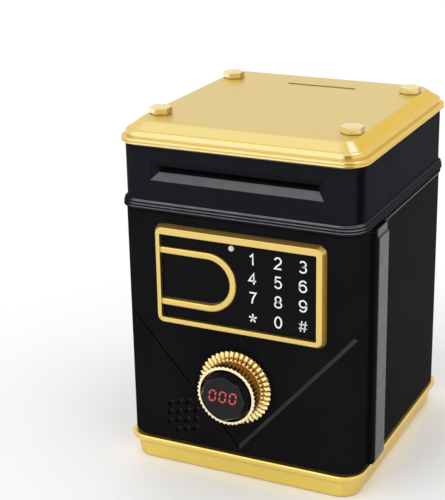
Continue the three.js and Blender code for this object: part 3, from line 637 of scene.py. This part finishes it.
HEAD_BLACK = black(
    "head_plastic", (0.0098, 0.0102, 0.0130), 0.002, 0.26, 0.32, 0.03,
    ((0, -0.768, 0.640), 0.97, 0.995, (0.068, 0.068, 0.072)),  # painted highlight on the ledge of the note slot
    ((0, -0.6, 0.80), 0.955, 0.99, (0.20, 0.20, 0.21)),  # painted highlights on the front tops of the beads
    ((0.35, -0.5, 0.79), 0.965, 0.99, (0.26, 0.26, 0.27)),  # painted highlights on the tops at the corner
    ((0.5, -0.33, 0.80), 0.965, 0.99, (0.26, 0.26, 0.27)),
    ((0.87, -0.50, 0), 0.96, 0.995, (0.003, 0.003, 0.004)),  # painted shade on the upright corner
    ((0.6, 0, 0.80), 0.955, 0.99, (0.045, 0.045, 0.048)))  # painted highlights on the side tops of the beads
PAD_BLACK = black(
    "pad_plastic", PANEL_BLACK, 0.03, 0.18, 0.24, 0.01,
    ((0, -0.5, -0.86), 0.80, 0.95, (0.60, 0.59, 0.56)))  # painted highlight on the lower rolled edge
SURROUND_GOLD = gold_plastic(
    "surround_gold",
    ((0, -1, 0), 0.985, 0.999, (0.80, 0.60, 0.19)),  # painted light on the front
    ((0.888, -0.46, 0), 0.93, 0.985, (0.38, 0.20, 0.02)),  # painted shade on the right slope
    ((0, -0.46, 0.888), 0.93, 0.985, (0.40, 0.24, 0.05)),  # painted shade on the top slope
    ((1, 0, 0), 0.95, 0.99, (0.66, 0.50, 0.22)))  # painted shade on the right wall
LID_GOLD = gold_plastic(
    "lid_gold",
    ((0, 0, 1), 0.93, 0.99, (0.70, 0.51, 0.112)),  # painted shade on the top
    ((0, -0.608, 0.794), 0.96, 0.99, (0.75, 0.61, 0.235)),  # painted light on the front bevel
    ((0, -1, 0), 0.90, 0.99, (0.92, 0.83, 0.46)),  # painted light on the front edge
    ((1, 0, 0), 0.90, 0.99, (0.73, 0.50, 0.05)),  # painted shade on the right edge
    ((0.608, 0, 0.794), 0.96, 0.99, (0.76, 0.49, 0.002)),  # painted shade on the right bevel
    ((0.43, -0.43, 0.79), 0.985, 0.997, (1.0, 0.92, 0.62)),  # painted highlight on the bevel at the corner
    ((0.42, -0.90, 0), 0.970, 0.990, (0.32, 0.20, 0.03)))  # painted shade on the edge near the corner
# Painted light on the front face of the base.
BASE_GOLD = gold_plastic("base_gold", ((0, -1, 0), 0.90, 0.99, (0.85, 0.675, 0.165)))


def four(point):
    """The point, mirrored into each quarter of the plan."""
    return [(sx * point.x, sy * point.y) for sx, sy in ((-1, -1), (1, -1), (1, 1), (-1, 1))]


# ---------------- base
def base_moulding():
    outer = fillet([(2.3, 0, 0), (1.6, 0.7, 0.5), (0.3, 8.8, 2.0), (-1.3, 9.7, 0.8), (-1.8, 10.6, 0.8),
                    (-1.8, 12.1, 0.6), (-1.2, RIM_Z, 0.5), (4.6, RIM_Z, 0.3), (5.2, TRAY_FLOOR, 0.8),
                    (7.0, TRAY_FLOOR, 0)])
    tray = casing(outer)
    holes = [block(*BATTERY_DOOR, -1, 3), rod("z", PIN + GAP, 7.4, 14, *HINGE)]
    for x, y in four(BASE_SCREW):
        holes += [rod("z", BASE_SCREW_HEAD, -1, 1.7, x, y), rod("z", BASE_SCREW_HOLE, -1, 4, x, y)]
    cut(tray, *holes)
    soften(tray, 0.25)
    place(tray, "base_moulding", "gold_plastic", "case", "base_tray", finish=BASE_GOLD)


# ---------------- body
def body_moulding():
    """Three walls round the money space, with its floor, a front sill and lintel, and the posts."""
    low, high = door_low.z, body_high.z
    walls = casing(fillet([(0.5, low, 0), (0, low + 0.5, 0.5), (0, high - 2.6, 0.1),
                           (-0.7, high - 1.5, 0.1), (-0.7, high - 0.2, 0.2), (0.5, high, 0)]))
    cut(walls, casing([(WALL, 0), (WALL, high + 9)]),
        block(-FAR, FAR, -FAR, SIDE_FRONT, 0, FAR * 2))
    inside_x = HALF_X - WALL + 0.5
    inside_y = HALF_Y - WALL + 0.5
    corner = 8  # the floor stays clear of the round rear corners
    parts = [
        block(-inside_x, inside_x, SIDE_FRONT, inside_y - corner, SHELF_LOW, SHELF_HIGH),
        block(corner - inside_x, inside_x - corner, 0, inside_y, SHELF_LOW, SHELF_HIGH),
        block(-inside_x, inside_x, SIDE_FRONT, SIDE_FRONT + 2, low, SHELF_HIGH),
        block(-inside_x, inside_x, SIDE_FRONT, SIDE_FRONT + 4, 130, high),
    ]
    holes = []
    for x, y in four(TIE):
        side = math.copysign(inside_x, x)
        parts += [rod("z", TIE_BOSS, TIE_BOSS_LOW, high, x, y),
                  block(min(x, side), max(x, side), y - 1.5, y + 1.5, TIE_BOSS_LOW, high)]
        holes.append(rod("z", TIE_HOLE, TIE_BOSS_LOW - 1, high + 9, x, y))
    for x, y in four(BASE_SCREW):
        parts.append(rod("z", BASE_SCREW_BOSS, 2.7, 20.6, x, max(y, SIDE_FRONT + 3.5)))
        holes.append(rod("z", BASE_SCREW_HOLE, 0, 15, x, y))
    join(walls, *parts)
    cut(walls, *holes)
    soften(walls, 0.25)
    place(walls, "body_moulding", "black_plastic", "case", "body_shell")


def hinge_guard():
    """Upright bar with round edges, a stepped cap and a rounded foot."""
    x0 = bar_low.x
    y0, y1 = bar_low.y, bar_high.y - BAR_SHORTER
    rings = []
    levels = fillet([(1.3, bar_low.z, 0), (0.35, 14.4, 1.0), (0, 16.0, 1.5), (0, 131.4, 0.4),
                     (0.9, 132.4, 0.4), (0.9, bar_high.z - 0.3, 0.3), (1.2, bar_high.z, 0)])
    for shrink, z in levels:
        out = bar_high.x - shrink
        section = fillet([(x0, y0, 0.01), (out, y0, 0.9), (out, y1, 0.9), (x0, y1, 0.01)], closed=True)
        rings.append([(x, y, z) for x, y in section])
    bar = loft(rings)
    place(bar, "hinge_guard", "bar_plastic", "case", "hinge_bar")


# ---------------- head and lid
def note_mouth(front):
    """The funnel from the head's face to the note slot's throat."""
    outlines = []
    for y, edge in ((front - 2, MOUTH), (front, MOUTH), (front + MOUTH_DEPTH, THROAT)):
        half, low, high = edge["half"], edge["low"], edge["high"]
        outlines.append((y, [(-half, low), (half, low), (half, high), (-half, high)]))
    return front_plate(outlines)


def head_moulding():
    """Head with the waist beads at its foot and a thick front wall round the note slot."""
    z = head_low.z
    wall = HALF_X - HEAD_HALF_X
    inner = wall + HEAD_WALL
    top = head_high.z
    profile = fillet([(0.6, z, 0), (-0.9, z + 0.1, 0.2), (-1.3, z + 0.6, 0.3), (-1.2, z + 1.2, 0.3),
                      (-0.5, z + 1.6, 0.15), (-1.2, z + 2.0, 0.3), (-1.1, z + 2.6, 0.3),
                      (-0.4, z + 3.0, 0.15), (-0.9, z + 3.4, 0.3), (-0.7, z + 4.0, 0.3),
                      (wall, z + 4.6, 0.3), (wall, top - 0.3, 0.3), (wall + 0.4, top, 0.2),
                      (inner - 0.2, top, 0.2), (inner, top - 0.3, 0.2), (inner, HEAD_FLOOR, 0.5),
                      (8, HEAD_FLOOR, 0)])
    shell = casing(profile)
    front = FRONT + wall
    low, high, half = THROAT["low"], THROAT["high"], THROAT["half"]
    join(shell, block(-46.4, 46.4, front + 1, front + 4.6, 149.5, 164.5),
         *rods("z", TIE_BOSS, HEAD_FLOOR - 1, top, four(TIE)))
    cut(shell, note_mouth(front), block(-half, half, front - 1, front + 6, low, high),
        block(*NOTE_DROP, 130, 145), rod("z", PIN + GAP, 130, 138.5, *HINGE),
        *rods("z", TIE_HOLE, 130, top + 1, four(TIE)))
    join(shell, *[block(x - LIP["half"], x + LIP["half"], front + 4, LIP["end"], low - LIP["over"],
                        high + LIP["over"]) for x in (-LIP["x"], LIP["x"])])
    soften(shell, 0.22)
    place(shell, "head_moulding", "black_plastic", "case", "head_shell", finish=HEAD_BLACK)


def lid_moulding():
    """Hollow lid: two beads, a short upright band and a broad bevel round the flat top."""
    z = lid_low.z
    top = lid_high.z
    profile = fillet([(9.4, 176.6, 0), (3.6, 172.6, 1.5), (3.6, z + 0.2, 0.2), (0.2, z, 0.2),
                      (-0.6, z, 0.3), (-1.3, z + 0.5, 0.4), (-1.3, z + 1.2, 0.3),
                      (-0.7, z + 1.55, 0.15), (-1.3, z + 1.9, 0.3), (-1.3, z + 2.7, 0.4),
                      (-0.6, z + 3.2, 0.3), (0.75, z + 3.35, 0.15), (0.55, z + 4.0, 0.3),
                      (0.7, z + 5.7, 0.6), (1.5, z + 6.4, 0.4), (2.1, z + 6.5, 0.2),
                      (6.5, top - 0.35, 0.4), (7.0, top - 0.05, 0.2), (7.6, top, 0.2), (11, top, 0)])
    shell = casing(profile)
    x0, x1 = COIN["x"] - COIN["half"], COIN["x"] + COIN["half"]
    y0, y1 = COIN["y"] - COIN["width"] / 2, COIN["y"] + COIN["width"] / 2
    cut(shell, block(x0, x1, y0, y1, 170, 190), *rods("z", TIE_HOLE, 160, 190, four(TIE)))
    soften(shell, 0.2, angle=50)
    place(shell, "lid_moulding", "gold_plastic", "case", "lid", finish=LID_GOLD)


def hex_cap(i, x, y):
    """Six-sided cap with softened edges and a slightly domed top, on its long tie bolt."""
    top = cap_high.z
    foot = lid_high.z + 0.1
    levels = fillet([(0, foot, 0), (0.25, foot, 0.1), (0, foot + 0.35, 0.2), (0, top - 0.35, 0.2),
                     (0.4, top - 0.06, 0.2), (3.6, top - 0.01, 1), (5.2, top, 0)])
    rings = []
    for inset, z in levels:
        corners = []
        for k in range(6):
            angle = math.pi * (0.5 + k / 3)
            radius = CAP_RADIUS - inset / math.cos(math.pi / 6)
            corners.append((x + radius * math.cos(angle), y + radius * math.sin(angle),
                            min(0.2, radius * 0.3)))
        rings.append([(px, py, z) for px, py in fillet(corners, closed=True)])
    cap = loft(rings)
    join(cap, rod("z", TIE_STEM, cap_low.z, foot + 1, x, y, 32))
    place(cap, f"hex_cap_{i}", "pale_gold", "case", f"hex_bolt_{i}")


# ---------------- door
def below_v():
    """The space in front of the door's set-back lower part; it runs out on the round corners."""
    floor, ahead = FRONT + V_STEP, FRONT - 4
    profile = fillet([(0, ahead, 0), (0, FRONT, 0.8), (V_CHAMFER, floor, 0.6),
                      (V_CHAMFER + 3, floor, 0)])
    slant = math.hypot(1, V_SLOPE)
    bend = HALF_X - CORNER
    clear = V_STEP + 0.5  # a shift forwards by this much takes the step off the door
    fade_start, fade_length = V_FADE
    stops = [(0, 0)]
    for step in range(CORNER_STEPS + 1):
        angle = math.pi / 2 * step / CORNER_STEPS
        lift = min(1.0, max(0.0, step / CORNER_STEPS - fade_start) / fade_length) * clear
        stops.append((bend + CORNER * math.sin(angle), CORNER * (1 - math.cos(angle)) - lift))
    stops.append((HALF_X + 6, CORNER - clear))
    rings = []
    for x, back in [(-x, back) for x, back in stops[:0:-1]] + stops:
        tip = V_TIP + abs(x) * V_SLOPE
        ring = [(x, y + back, tip + (V_CHAMFER / 2 - reach) * slant) for reach, y in profile]
        rings.append(ring + [(x, floor + back, -40), (x, ahead + back, -40)])
    return loft(rings)


def grille_slots():
    """Leaning slots on staggered rows; each is a ramp that deepens into a hole at its lower end."""
    half, side_step = GRILLE["half"], GRILLE["width"] / 2
    face = FRONT + V_STEP
    deep = face + GRILLE["depth"]
    turn = Matrix.Rotation(math.radians(GRILLE["lean"]), 3, "Y")
    slots = []
    for row in range(-3, 4):
        for i in range(-1, 2):
            along = (i + (0 if row % 2 else 0.5)) * GRILLE["pitch"]
            across = row * GRILLE["row"]
            if math.hypot(along, across) > GRILLE["reach"]:
                continue
            rings = []
            for side in (-side_step, side_step):
                ramp = [(half, -FAR), (half, face), (-half, deep), (-half, -FAR)]
                ring = [turn @ Vector((along + u, y, across + side)) for u, y in ramp]
                rings.append([(x + SPEAKER.x, y, z + SPEAKER.y) for x, y, z in ring])
            slots.append(loft(rings))
    return slots


def door_moulding():
    """Door with its hinge tube and screw posts, the window, the V step and the grille."""
    low, high = door_low.z, door_high.z
    shell = casing(fillet([(0.6, low, 0), (0, low + 0.6, 0.6), (0, high - 0.6, 0.6),
                           (0.6, high, 0)]))
    half_x, half_y = HALF_X - WALL, -DOOR_SKIN
    hollow = loft([[(x, y, z) for x, y in rounded(-half_x, half_x, -half_y, half_y, 8)]
                   for z in (15.4, 133.8)])
    cut(shell, hollow, block(-FAR, FAR, DOOR_BACK, FAR, 0, 200))
    cut(shell, block(HINGE.x - BARREL, FAR, HINGE.y, 0, 0, 200))
    join(shell, rod("z", BARREL, low, high, *HINGE),
         *rods("y", DOOR_SCREW_BOSS, DOOR_SKIN - 1, -51.7, DOOR_SCREWS))
    window = rounded(*WINDOW, 0.6, 3)
    cut(shell, front_plate([(-70, window), (-55, window)]),
        rod("y", SLEEVE + 0.4, -70, -55, 0, KNOB_Z, 64), rod("z", PIN + GAP, 0, 22.4, *HINGE, 24),
        rod("z", PIN + GAP, 125.6, 150, *HINGE, 24),
        *rods("y", DOOR_SCREW_HOLE, -60, -50, DOOR_SCREWS, 24))
    soften(shell, 0.2, angle=40)
    cut(shell, below_v())
    cut(shell, *grille_slots())
    place(shell, "door_moulding", "black_plastic", "door", "door_panel", finish=DOOR_BLACK, sharp=25)


# ---------------- keypad
def scan_outline(radius, left, steps=40):
    """Round at the right, straight towards the surround's left bar."""
    ring = [(left, SCAN.y - radius), (SCAN.x, SCAN.y - radius)]
    for step in range(1, steps):
        angle = math.pi * (step / steps - 0.5)
        ring.append((SCAN.x + radius * math.cos(angle), SCAN.y + radius * math.sin(angle)))
    ring += [(SCAN.x, SCAN.y + radius), (left, SCAN.y + radius)]
    return ring


def keypad_surround():
    """Frame with sloping sides round the keypad, and the D-shaped ring round the finger pad."""
    front, back = surround_low.y, surround_high.y
    x0, x1, z0, z1 = surround_low.x, surround_high.x, surround_low.z, surround_high.z
    outlines = []
    for inset, y in fillet([(0, back, 0), (0, front + 2.9, 0.2), (1.5, front, 0.5),
                            (2.9, front, 0)], 5):
        outlines.append((y, rounded(x0 + inset, x1 - inset, z0 + inset, z1 - inset, 4.8 - inset)))
    left, right, low, high = WINDOW
    for inset, y in fillet([(-0.6, front, 0), (0, front, 0.35), (0, back, 0)], 4):
        outlines.append((y, rounded(left + inset, right - inset, low + inset, high - inset, 0.6)))
    surround = front_plate(outlines, closed=True)
    crest = front + 0.7
    outlines = []
    for inset, y in fillet([(0, back, 0), (0, crest, 1.5), (SCAN_BAR, crest, 1.5),
                            (SCAN_BAR, back, 0)], 6):
        outlines.append((y, scan_outline(SCAN_R - inset, left - 0.5)))
    join(surround, front_plate(outlines, closed=True))
    place(surround, "keypad_surround", "gold_plastic", "door", "keypad_frame", finish=SURROUND_GOLD)


def middle(low, high):
    """Half the width of a CAD node's box, and its centre in x and z."""
    return (high.x - low.x) / 2, Vector(((low.x + high.x) / 2, (low.z + high.z) / 2))


def keypad_face():
    """Thin plate with holes for the finger pad and the lamp."""
    front = panel_low.y
    outlines = []
    for inset, y in fillet([(0, panel_high.y, 0), (0, front, 0.15), (0.4, front, 0)], 3):
        outlines.append((y, rounded(panel_low.x + inset, panel_high.x - inset, panel_low.z + inset,
                                    panel_high.z - inset, 0.5, 3)))
    face = front_plate(outlines)
    opening = scan_outline(SCAN_R + GAP, panel_low.x - 2)
    lamp_radius, lamp = middle(led_low, led_high)
    cut(face, front_plate([(-70, opening), (-60, opening)]),
        rod("y", lamp_radius + GAP, -70, -60, *lamp))
    place(face, "keypad_face", "black_panel", "door", "keypad_panel")


def arc(u, v, wide, tall, start, end, steps=14):
    """Points on part of an ellipse, with angles in degrees."""
    angles = [math.radians(start + (end - start) * i / steps) for i in range(steps + 1)]
    return [(u + wide * math.cos(angle), v + tall * math.sin(angle)) for angle in angles]


def strokes():
    """The centre lines of each key's character, in a box one unit high and about 0.7 wide."""
    six = [arc(0, 0.31, 0.34, 0.31, 0, 360, 24),
           [(-0.34, 0.31)] + arc(0.02, 0.62, 0.36, 0.38, 180, 35)]
    nine = [[(-u, 1 - v) for u, v in line] for line in six]
    spokes = [[(0, 0.5), (0.42 * math.cos(angle), 0.5 + 0.42 * math.sin(angle))]
              for angle in (math.pi * (0.5 + 0.4 * k) for k in range(5))]
    return {
        "0": [arc(0, 0.5, 0.33, 0.5, 0, 360, 24)],
        "1": [[(-0.24, 0.74), (-0.08, 0.84), (0.06, 1.0), (0.06, 0.0)]],
        "2": [arc(0, 0.70, 0.32, 0.30, 165, -35) + [(-0.10, 0.24), (-0.33, 0.0), (0.35, 0.0)]],
        "3": [arc(-0.01, 0.745, 0.29, 0.255, 155, -90) + arc(-0.02, 0.26, 0.34, 0.265, 80, -155)],
        "4": [[(0.14, 0.0), (0.14, 1.0), (-0.36, 0.30), (0.36, 0.30)]],
        "5": [[(0.29, 1.0), (-0.21, 1.0), (-0.29, 0.50)] + arc(-0.01, 0.32, 0.34, 0.32, 140, -155)],
        "6": six,
        "7": [[(-0.33, 1.0), (0.33, 1.0), (0.12, 0.66), (-0.02, 0.36), (-0.08, 0.0)]],
        "8": [arc(0, 0.75, 0.28, 0.25, 0, 360, 24), arc(0, 0.25, 0.34, 0.255, 0, 360, 24)],
        "9": nine,
        "*": spokes,
        "#": [[(-0.26, 0.0), (-0.10, 1.0)], [(0.12, 0.0), (0.28, 1.0)], [(-0.42, 0.31), (0.38, 0.31)],
              [(-0.38, 0.69), (0.42, 0.69)]],
    }


def ribbon(points, width, front):
    """A thin strip of ink along a line of (x, z) points, standing a hair proud of the face."""
    path = [Vector(point) for point in points]
    closed = (path[0] - path[-1]).length < 0.001
    if closed:
        path.pop()
    rings = []
    for i, here in enumerate(path):
        before = path[i - 1] if i or closed else here
        after = path[(i + 1) % len(path)] if i + 1 < len(path) or closed else here
        into = (here - before).normalized()
        out = (after - here).normalized()
        along = (into + out).normalized()
        mitre = max(0.5, along.dot(out if out.length else into))
        across = Vector((-along.y, along.x)) * (width / 2 / mitre)
        a, b = here + across, here - across
        back, ahead = front + INK_BELOW, front - INK_ABOVE
        rings.append([(a.x, back, a.y), (a.x, ahead, a.y), (b.x, ahead, b.y), (b.x, back, b.y)])
    return loft(rings, closed)


def merge(objects):
    """Joins separate objects into the first one."""
    work = bmesh.new()
    for obj in objects:
        work.from_mesh(obj.data)
    bmesh.ops.remove_doubles(work, verts=work.verts, dist=0.0005)
    work.to_mesh(objects[0].data)
    work.free()
    for obj in objects[1:]:
        bpy.data.objects.remove(obj)
    return objects[0]


def keypad_print():
    lines = strokes()
    ink = []
    for row, characters in zip(KEY_ROWS, KEY_ROW_TEXT):
        for column, character in zip(KEY_COLUMNS, characters):
            tall, thick = KEY_SPECIAL.get(character, KEY_SIZE)
            for line in lines[character]:
                points = [(column + u * tall * KEY_NARROW, row + (v - 0.5) * tall) for u, v in line]
                ink.append(ribbon(points, thick, panel_low.y))
    place(merge(ink), "keypad_print", "led_white", "door", finish=INK)


def finger_window():
    """Smooth pad with a rolled edge, a little proud of the keypad face."""
    front = pad_low.y
    outlines = []
    for inset, y in fillet([(0, pad_high.y, 0), (0, front, 0.5), (1.2, front, 0)], 5):
        outlines.append((y, scan_outline(pad_high.z - SCAN.y - inset, pad_low.x + inset)))
    pad = front_plate(outlines)
    place(pad, "finger_window", "black_panel", "finger_pad", "finger_pad", finish=PAD_BLACK)


def indicator():
    """Lamp with a slightly domed front."""
    radius, centre = middle(led_low, led_high)
    front = led_low.y
    path = fillet([(radius, led_high.y, 0), (radius, front + 0.1, 0.3), (radius * 0.6, front, 0.4),
                   (0.1, front, 0)])
    lamp = turned(path, lambda r, y, angle: (r, y), 32, centre)
    place(lamp, "indicator_lamp", "led_white", "door", "indicator_led")


# ---------------- knob and display
def knurl(radius, y, angle):
    """Cuts narrow grooves into the skirt's rim and slope, the neck and the front rim."""
    height = FRONT - y
    if radius < NECK_RADIUS or height < SKIRT_FOOT:
        return radius, y
    groove = (1 - abs(math.cos(TEETH * angle / 2))) ** 0.8
    if height < SKIRT_TOP:
        return radius - SKIRT_GROOVE * groove, y + min(1.0, max(0.0, height - 2.0)) * groove
    return radius - NECK_GROOVE * groove, y + (RIM_GROOVE * groove if height > RIM_FOOT else 0)


def knob():
    """Ring with a toothed skirt, a ribbed neck and a hollow front that holds the lens."""
    def at(height):
        return FRONT - height

    back = knob_high.y
    front = knob_low.y
    path = fillet([
        (SLEEVE, back, 0.3), (SLEEVE, at(1.7), 0), (18.7, at(1.7), 0), (19.5, at(2.1), 0.3),
        (19.5, at(3.2), 1.0), (17.6, at(4.6), 1.4), (15.7, at(4.5), 0.4), (15.0, at(5.0), 0.4),
        (15.0, at(12.1), 0.2), (15.45, at(12.5), 0.2), (15.45, front, 0.4), (13.7, front, 0.2),
        (13.7, at(9.0), 0.2), (8.8, at(9.0), 0.2), (8.8, back, 0.2),
    ], closed=True)
    ring = turned(path, knurl, TEETH * 12, Vector((0, KNOB_Z)), closed=True)
    place(ring, "knob_grip", "gold_plated", "knob", "knob_ring", sharp=50)


def display_crystal():
    """Smoked lens: a round rim, facets that run in from it, and a flat octagon on top."""
    def ring(radius, y, count):
        turns = [2 * math.pi * i / count for i in range(count)]
        return [(radius * math.cos(turn), y, KNOB_Z + radius * math.sin(turn)) for turn in turns]

    parts = 64
    per_side = parts // 8
    outer = ring(lens_high.x + LENS_WIDER, FRONT - LENS_RIM, parts)
    foot = [(x, lens_high.y, z) for x, y, z in outer]
    table = ring(LENS_FACE, lens_low.y + LENS_TOP, 8)
    faces = [tuple(range(parts)), tuple(range(2 * parts, 2 * parts + 8))]
    for i in range(parts):
        j = (i + 1) % parts
        corner = 2 * parts + (i + per_side // 2) // per_side % 8
        faces += [(i, j, parts + j, parts + i), (parts + i, parts + j, corner)]
    for k in range(8):
        between = parts + k * per_side + per_side // 2
        faces.append((2 * parts + k, between, 2 * parts + (k + 1) % 8))
    crown = new_object(foot + outer + table, faces)
    soften(crown, 0.18, 2, 12)
    half_x, half_z, ahead = DISPLAY_SPACE
    cut(crown, block(-half_x, half_x, ahead, -70, KNOB_Z - half_z, KNOB_Z + half_z))
    place(crown, "display_crystal", "dark_lens", "door", "display_lens", sharp=20)


def segment(start, end, across):
    """Six-cornered bar with pointed ends, as (along, across) points."""
    half = DIGIT["thick"] / 2
    return [(start, across), (start + half, across - half), (end - half, across - half),
            (end, across), (end - half, across + half), (start + half, across + half)]


def segment_zero(x, front):
    """A slanted seven-segment nought: six bars with gaps between them."""
    gap = DIGIT["gap"]
    top = (DIGIT["tall"] - DIGIT["thick"]) / 2
    side = (DIGIT["wide"] - DIGIT["thick"]) / 2
    bars = [segment(gap - side, side - gap, z) for z in (top, -top)]
    for u in (-side, side):
        for low, high in ((gap, top - gap), (gap - top, -gap)):
            bars.append([(across, along) for along, across in segment(low, high, u)])
    slant = math.tan(math.radians(DIGIT["slant"]))
    outlines = [[(x + u + v * slant, KNOB_Z + DIGIT["up"] + v) for u, v in bar] for bar in bars]
    return [front_plate([(front + 0.02, line), (front - 0.05, line)]) for line in outlines]


def display_digits():
    bars = []
    for column in (-1, 0, 1):
        bars += segment_zero(column * DIGIT["pitch"], lens_low.y + LENS_TOP)
    place(merge(bars), "display_digits", "display_red", "door")


# ---------------- carried-over CAD nodes
def dress(obj, slot_name):
    """Gives a CAD node its finish and rounds its edges a little, with hardened normals."""
    for slot in obj.material_slots:
        slot.link = "OBJECT"
        slot.material = FINISH[slot_name]
    weld = obj.modifiers.new("weld", "WELD")
    weld.merge_threshold = 2e-6
    flat = obj.modifiers.new("flat", "DECIMATE")
    flat.decimate_type = "DISSOLVE"
    flat.angle_limit = math.radians(1)
    edge = obj.modifiers.new("edge", "BEVEL")
    edge.width = 0.15 * MM
    edge.segments = 2
    edge.angle_limit = math.radians(40)
    edge.harden_normals = True


# ---------------- stage
def studio():
    """Even white surroundings, a pale floor, and two wide soft lamps."""
    world = bpy.data.worlds.new("studio")
    scene.world = world
    world.use_nodes = True
    background = world.node_tree.nodes["Background"].inputs
    background["Color"].default_value = (1, 1, 1, 1)
    background["Strength"].default_value = 1.02
    floor = new_object([(-6, -6, 0), (6, -6, 0), (6, 6, 0), (-6, 6, 0)], [(0, 1, 2, 3)], "floor")
    floor.location.z = -0.0001
    n = Nodes("floor")
    colour = n.tint(n.noise(400, 3), (0.90, 0.90, 0.90), (0.92, 0.92, 0.92))
    floor.data.materials.append(n.finish(colour, n.uneven(60, 3, 0.55, 0.65)))
    # Direction towards the lamp, its width in degrees and its strength.
    lamps = [
        ("key", (-0.30, -0.55, 0.78), 40, 0.45),
        ("fill", (0.85, -0.35, 0.40), 60, 0.15),
    ]
    for name, direction, softness, strength in lamps:
        data = bpy.data.lights.new(name, "SUN")
        data.angle = math.radians(softness)
        data.energy = strength
        lamp = bpy.data.objects.new(name, data)
        scene.collection.objects.link(lamp)
        lamp.rotation_mode = "QUATERNION"
        lamp.rotation_quaternion = Vector(direction).to_track_quat("Z", "Y")


def camera():
    """The photograph's own angle, from the front right and a little above."""
    azimuth, elevation, roll = (math.radians(a) for a in CAMERA["angles"])
    back = Vector((math.sin(azimuth) * math.cos(elevation), -math.cos(azimuth) * math.cos(elevation),
                   math.sin(elevation)))
    right = Vector((math.cos(azimuth), math.sin(azimuth), 0))
    up = back.cross(right)
    rolled = right * math.cos(roll) + up * math.sin(roll)
    upward = up * math.cos(roll) - right * math.sin(roll)
    data = bpy.data.cameras.new("camera")
    data.lens = CAMERA["lens"]
    data.sensor_width = 36
    data.shift_x, data.shift_y = CAMERA["shift"]
    obj = bpy.data.objects.new("camera", data)
    scene.collection.objects.link(obj)
    obj.matrix_world = Matrix((rolled, upward, back)).transposed().to_4x4()
    obj.location = CAMERA["place"]
    scene.camera = obj


camera()
studio()
base_moulding()
body_moulding()
hinge_guard()
head_moulding()
lid_moulding()
for number, (tie_x, tie_y) in enumerate(four(TIE), 1):
    hex_cap(number, tie_x, tie_y)
door_moulding()
keypad_surround()
keypad_face()
keypad_print()
finger_window()
indicator()
knob()
display_crystal()
display_digits()

slots = {part["node"]: part["material_slot"] for part in frame["record"]["subparts"]}
for node_name, node_object in frame["nodes"].items():
    dress(node_object, slots[node_name])
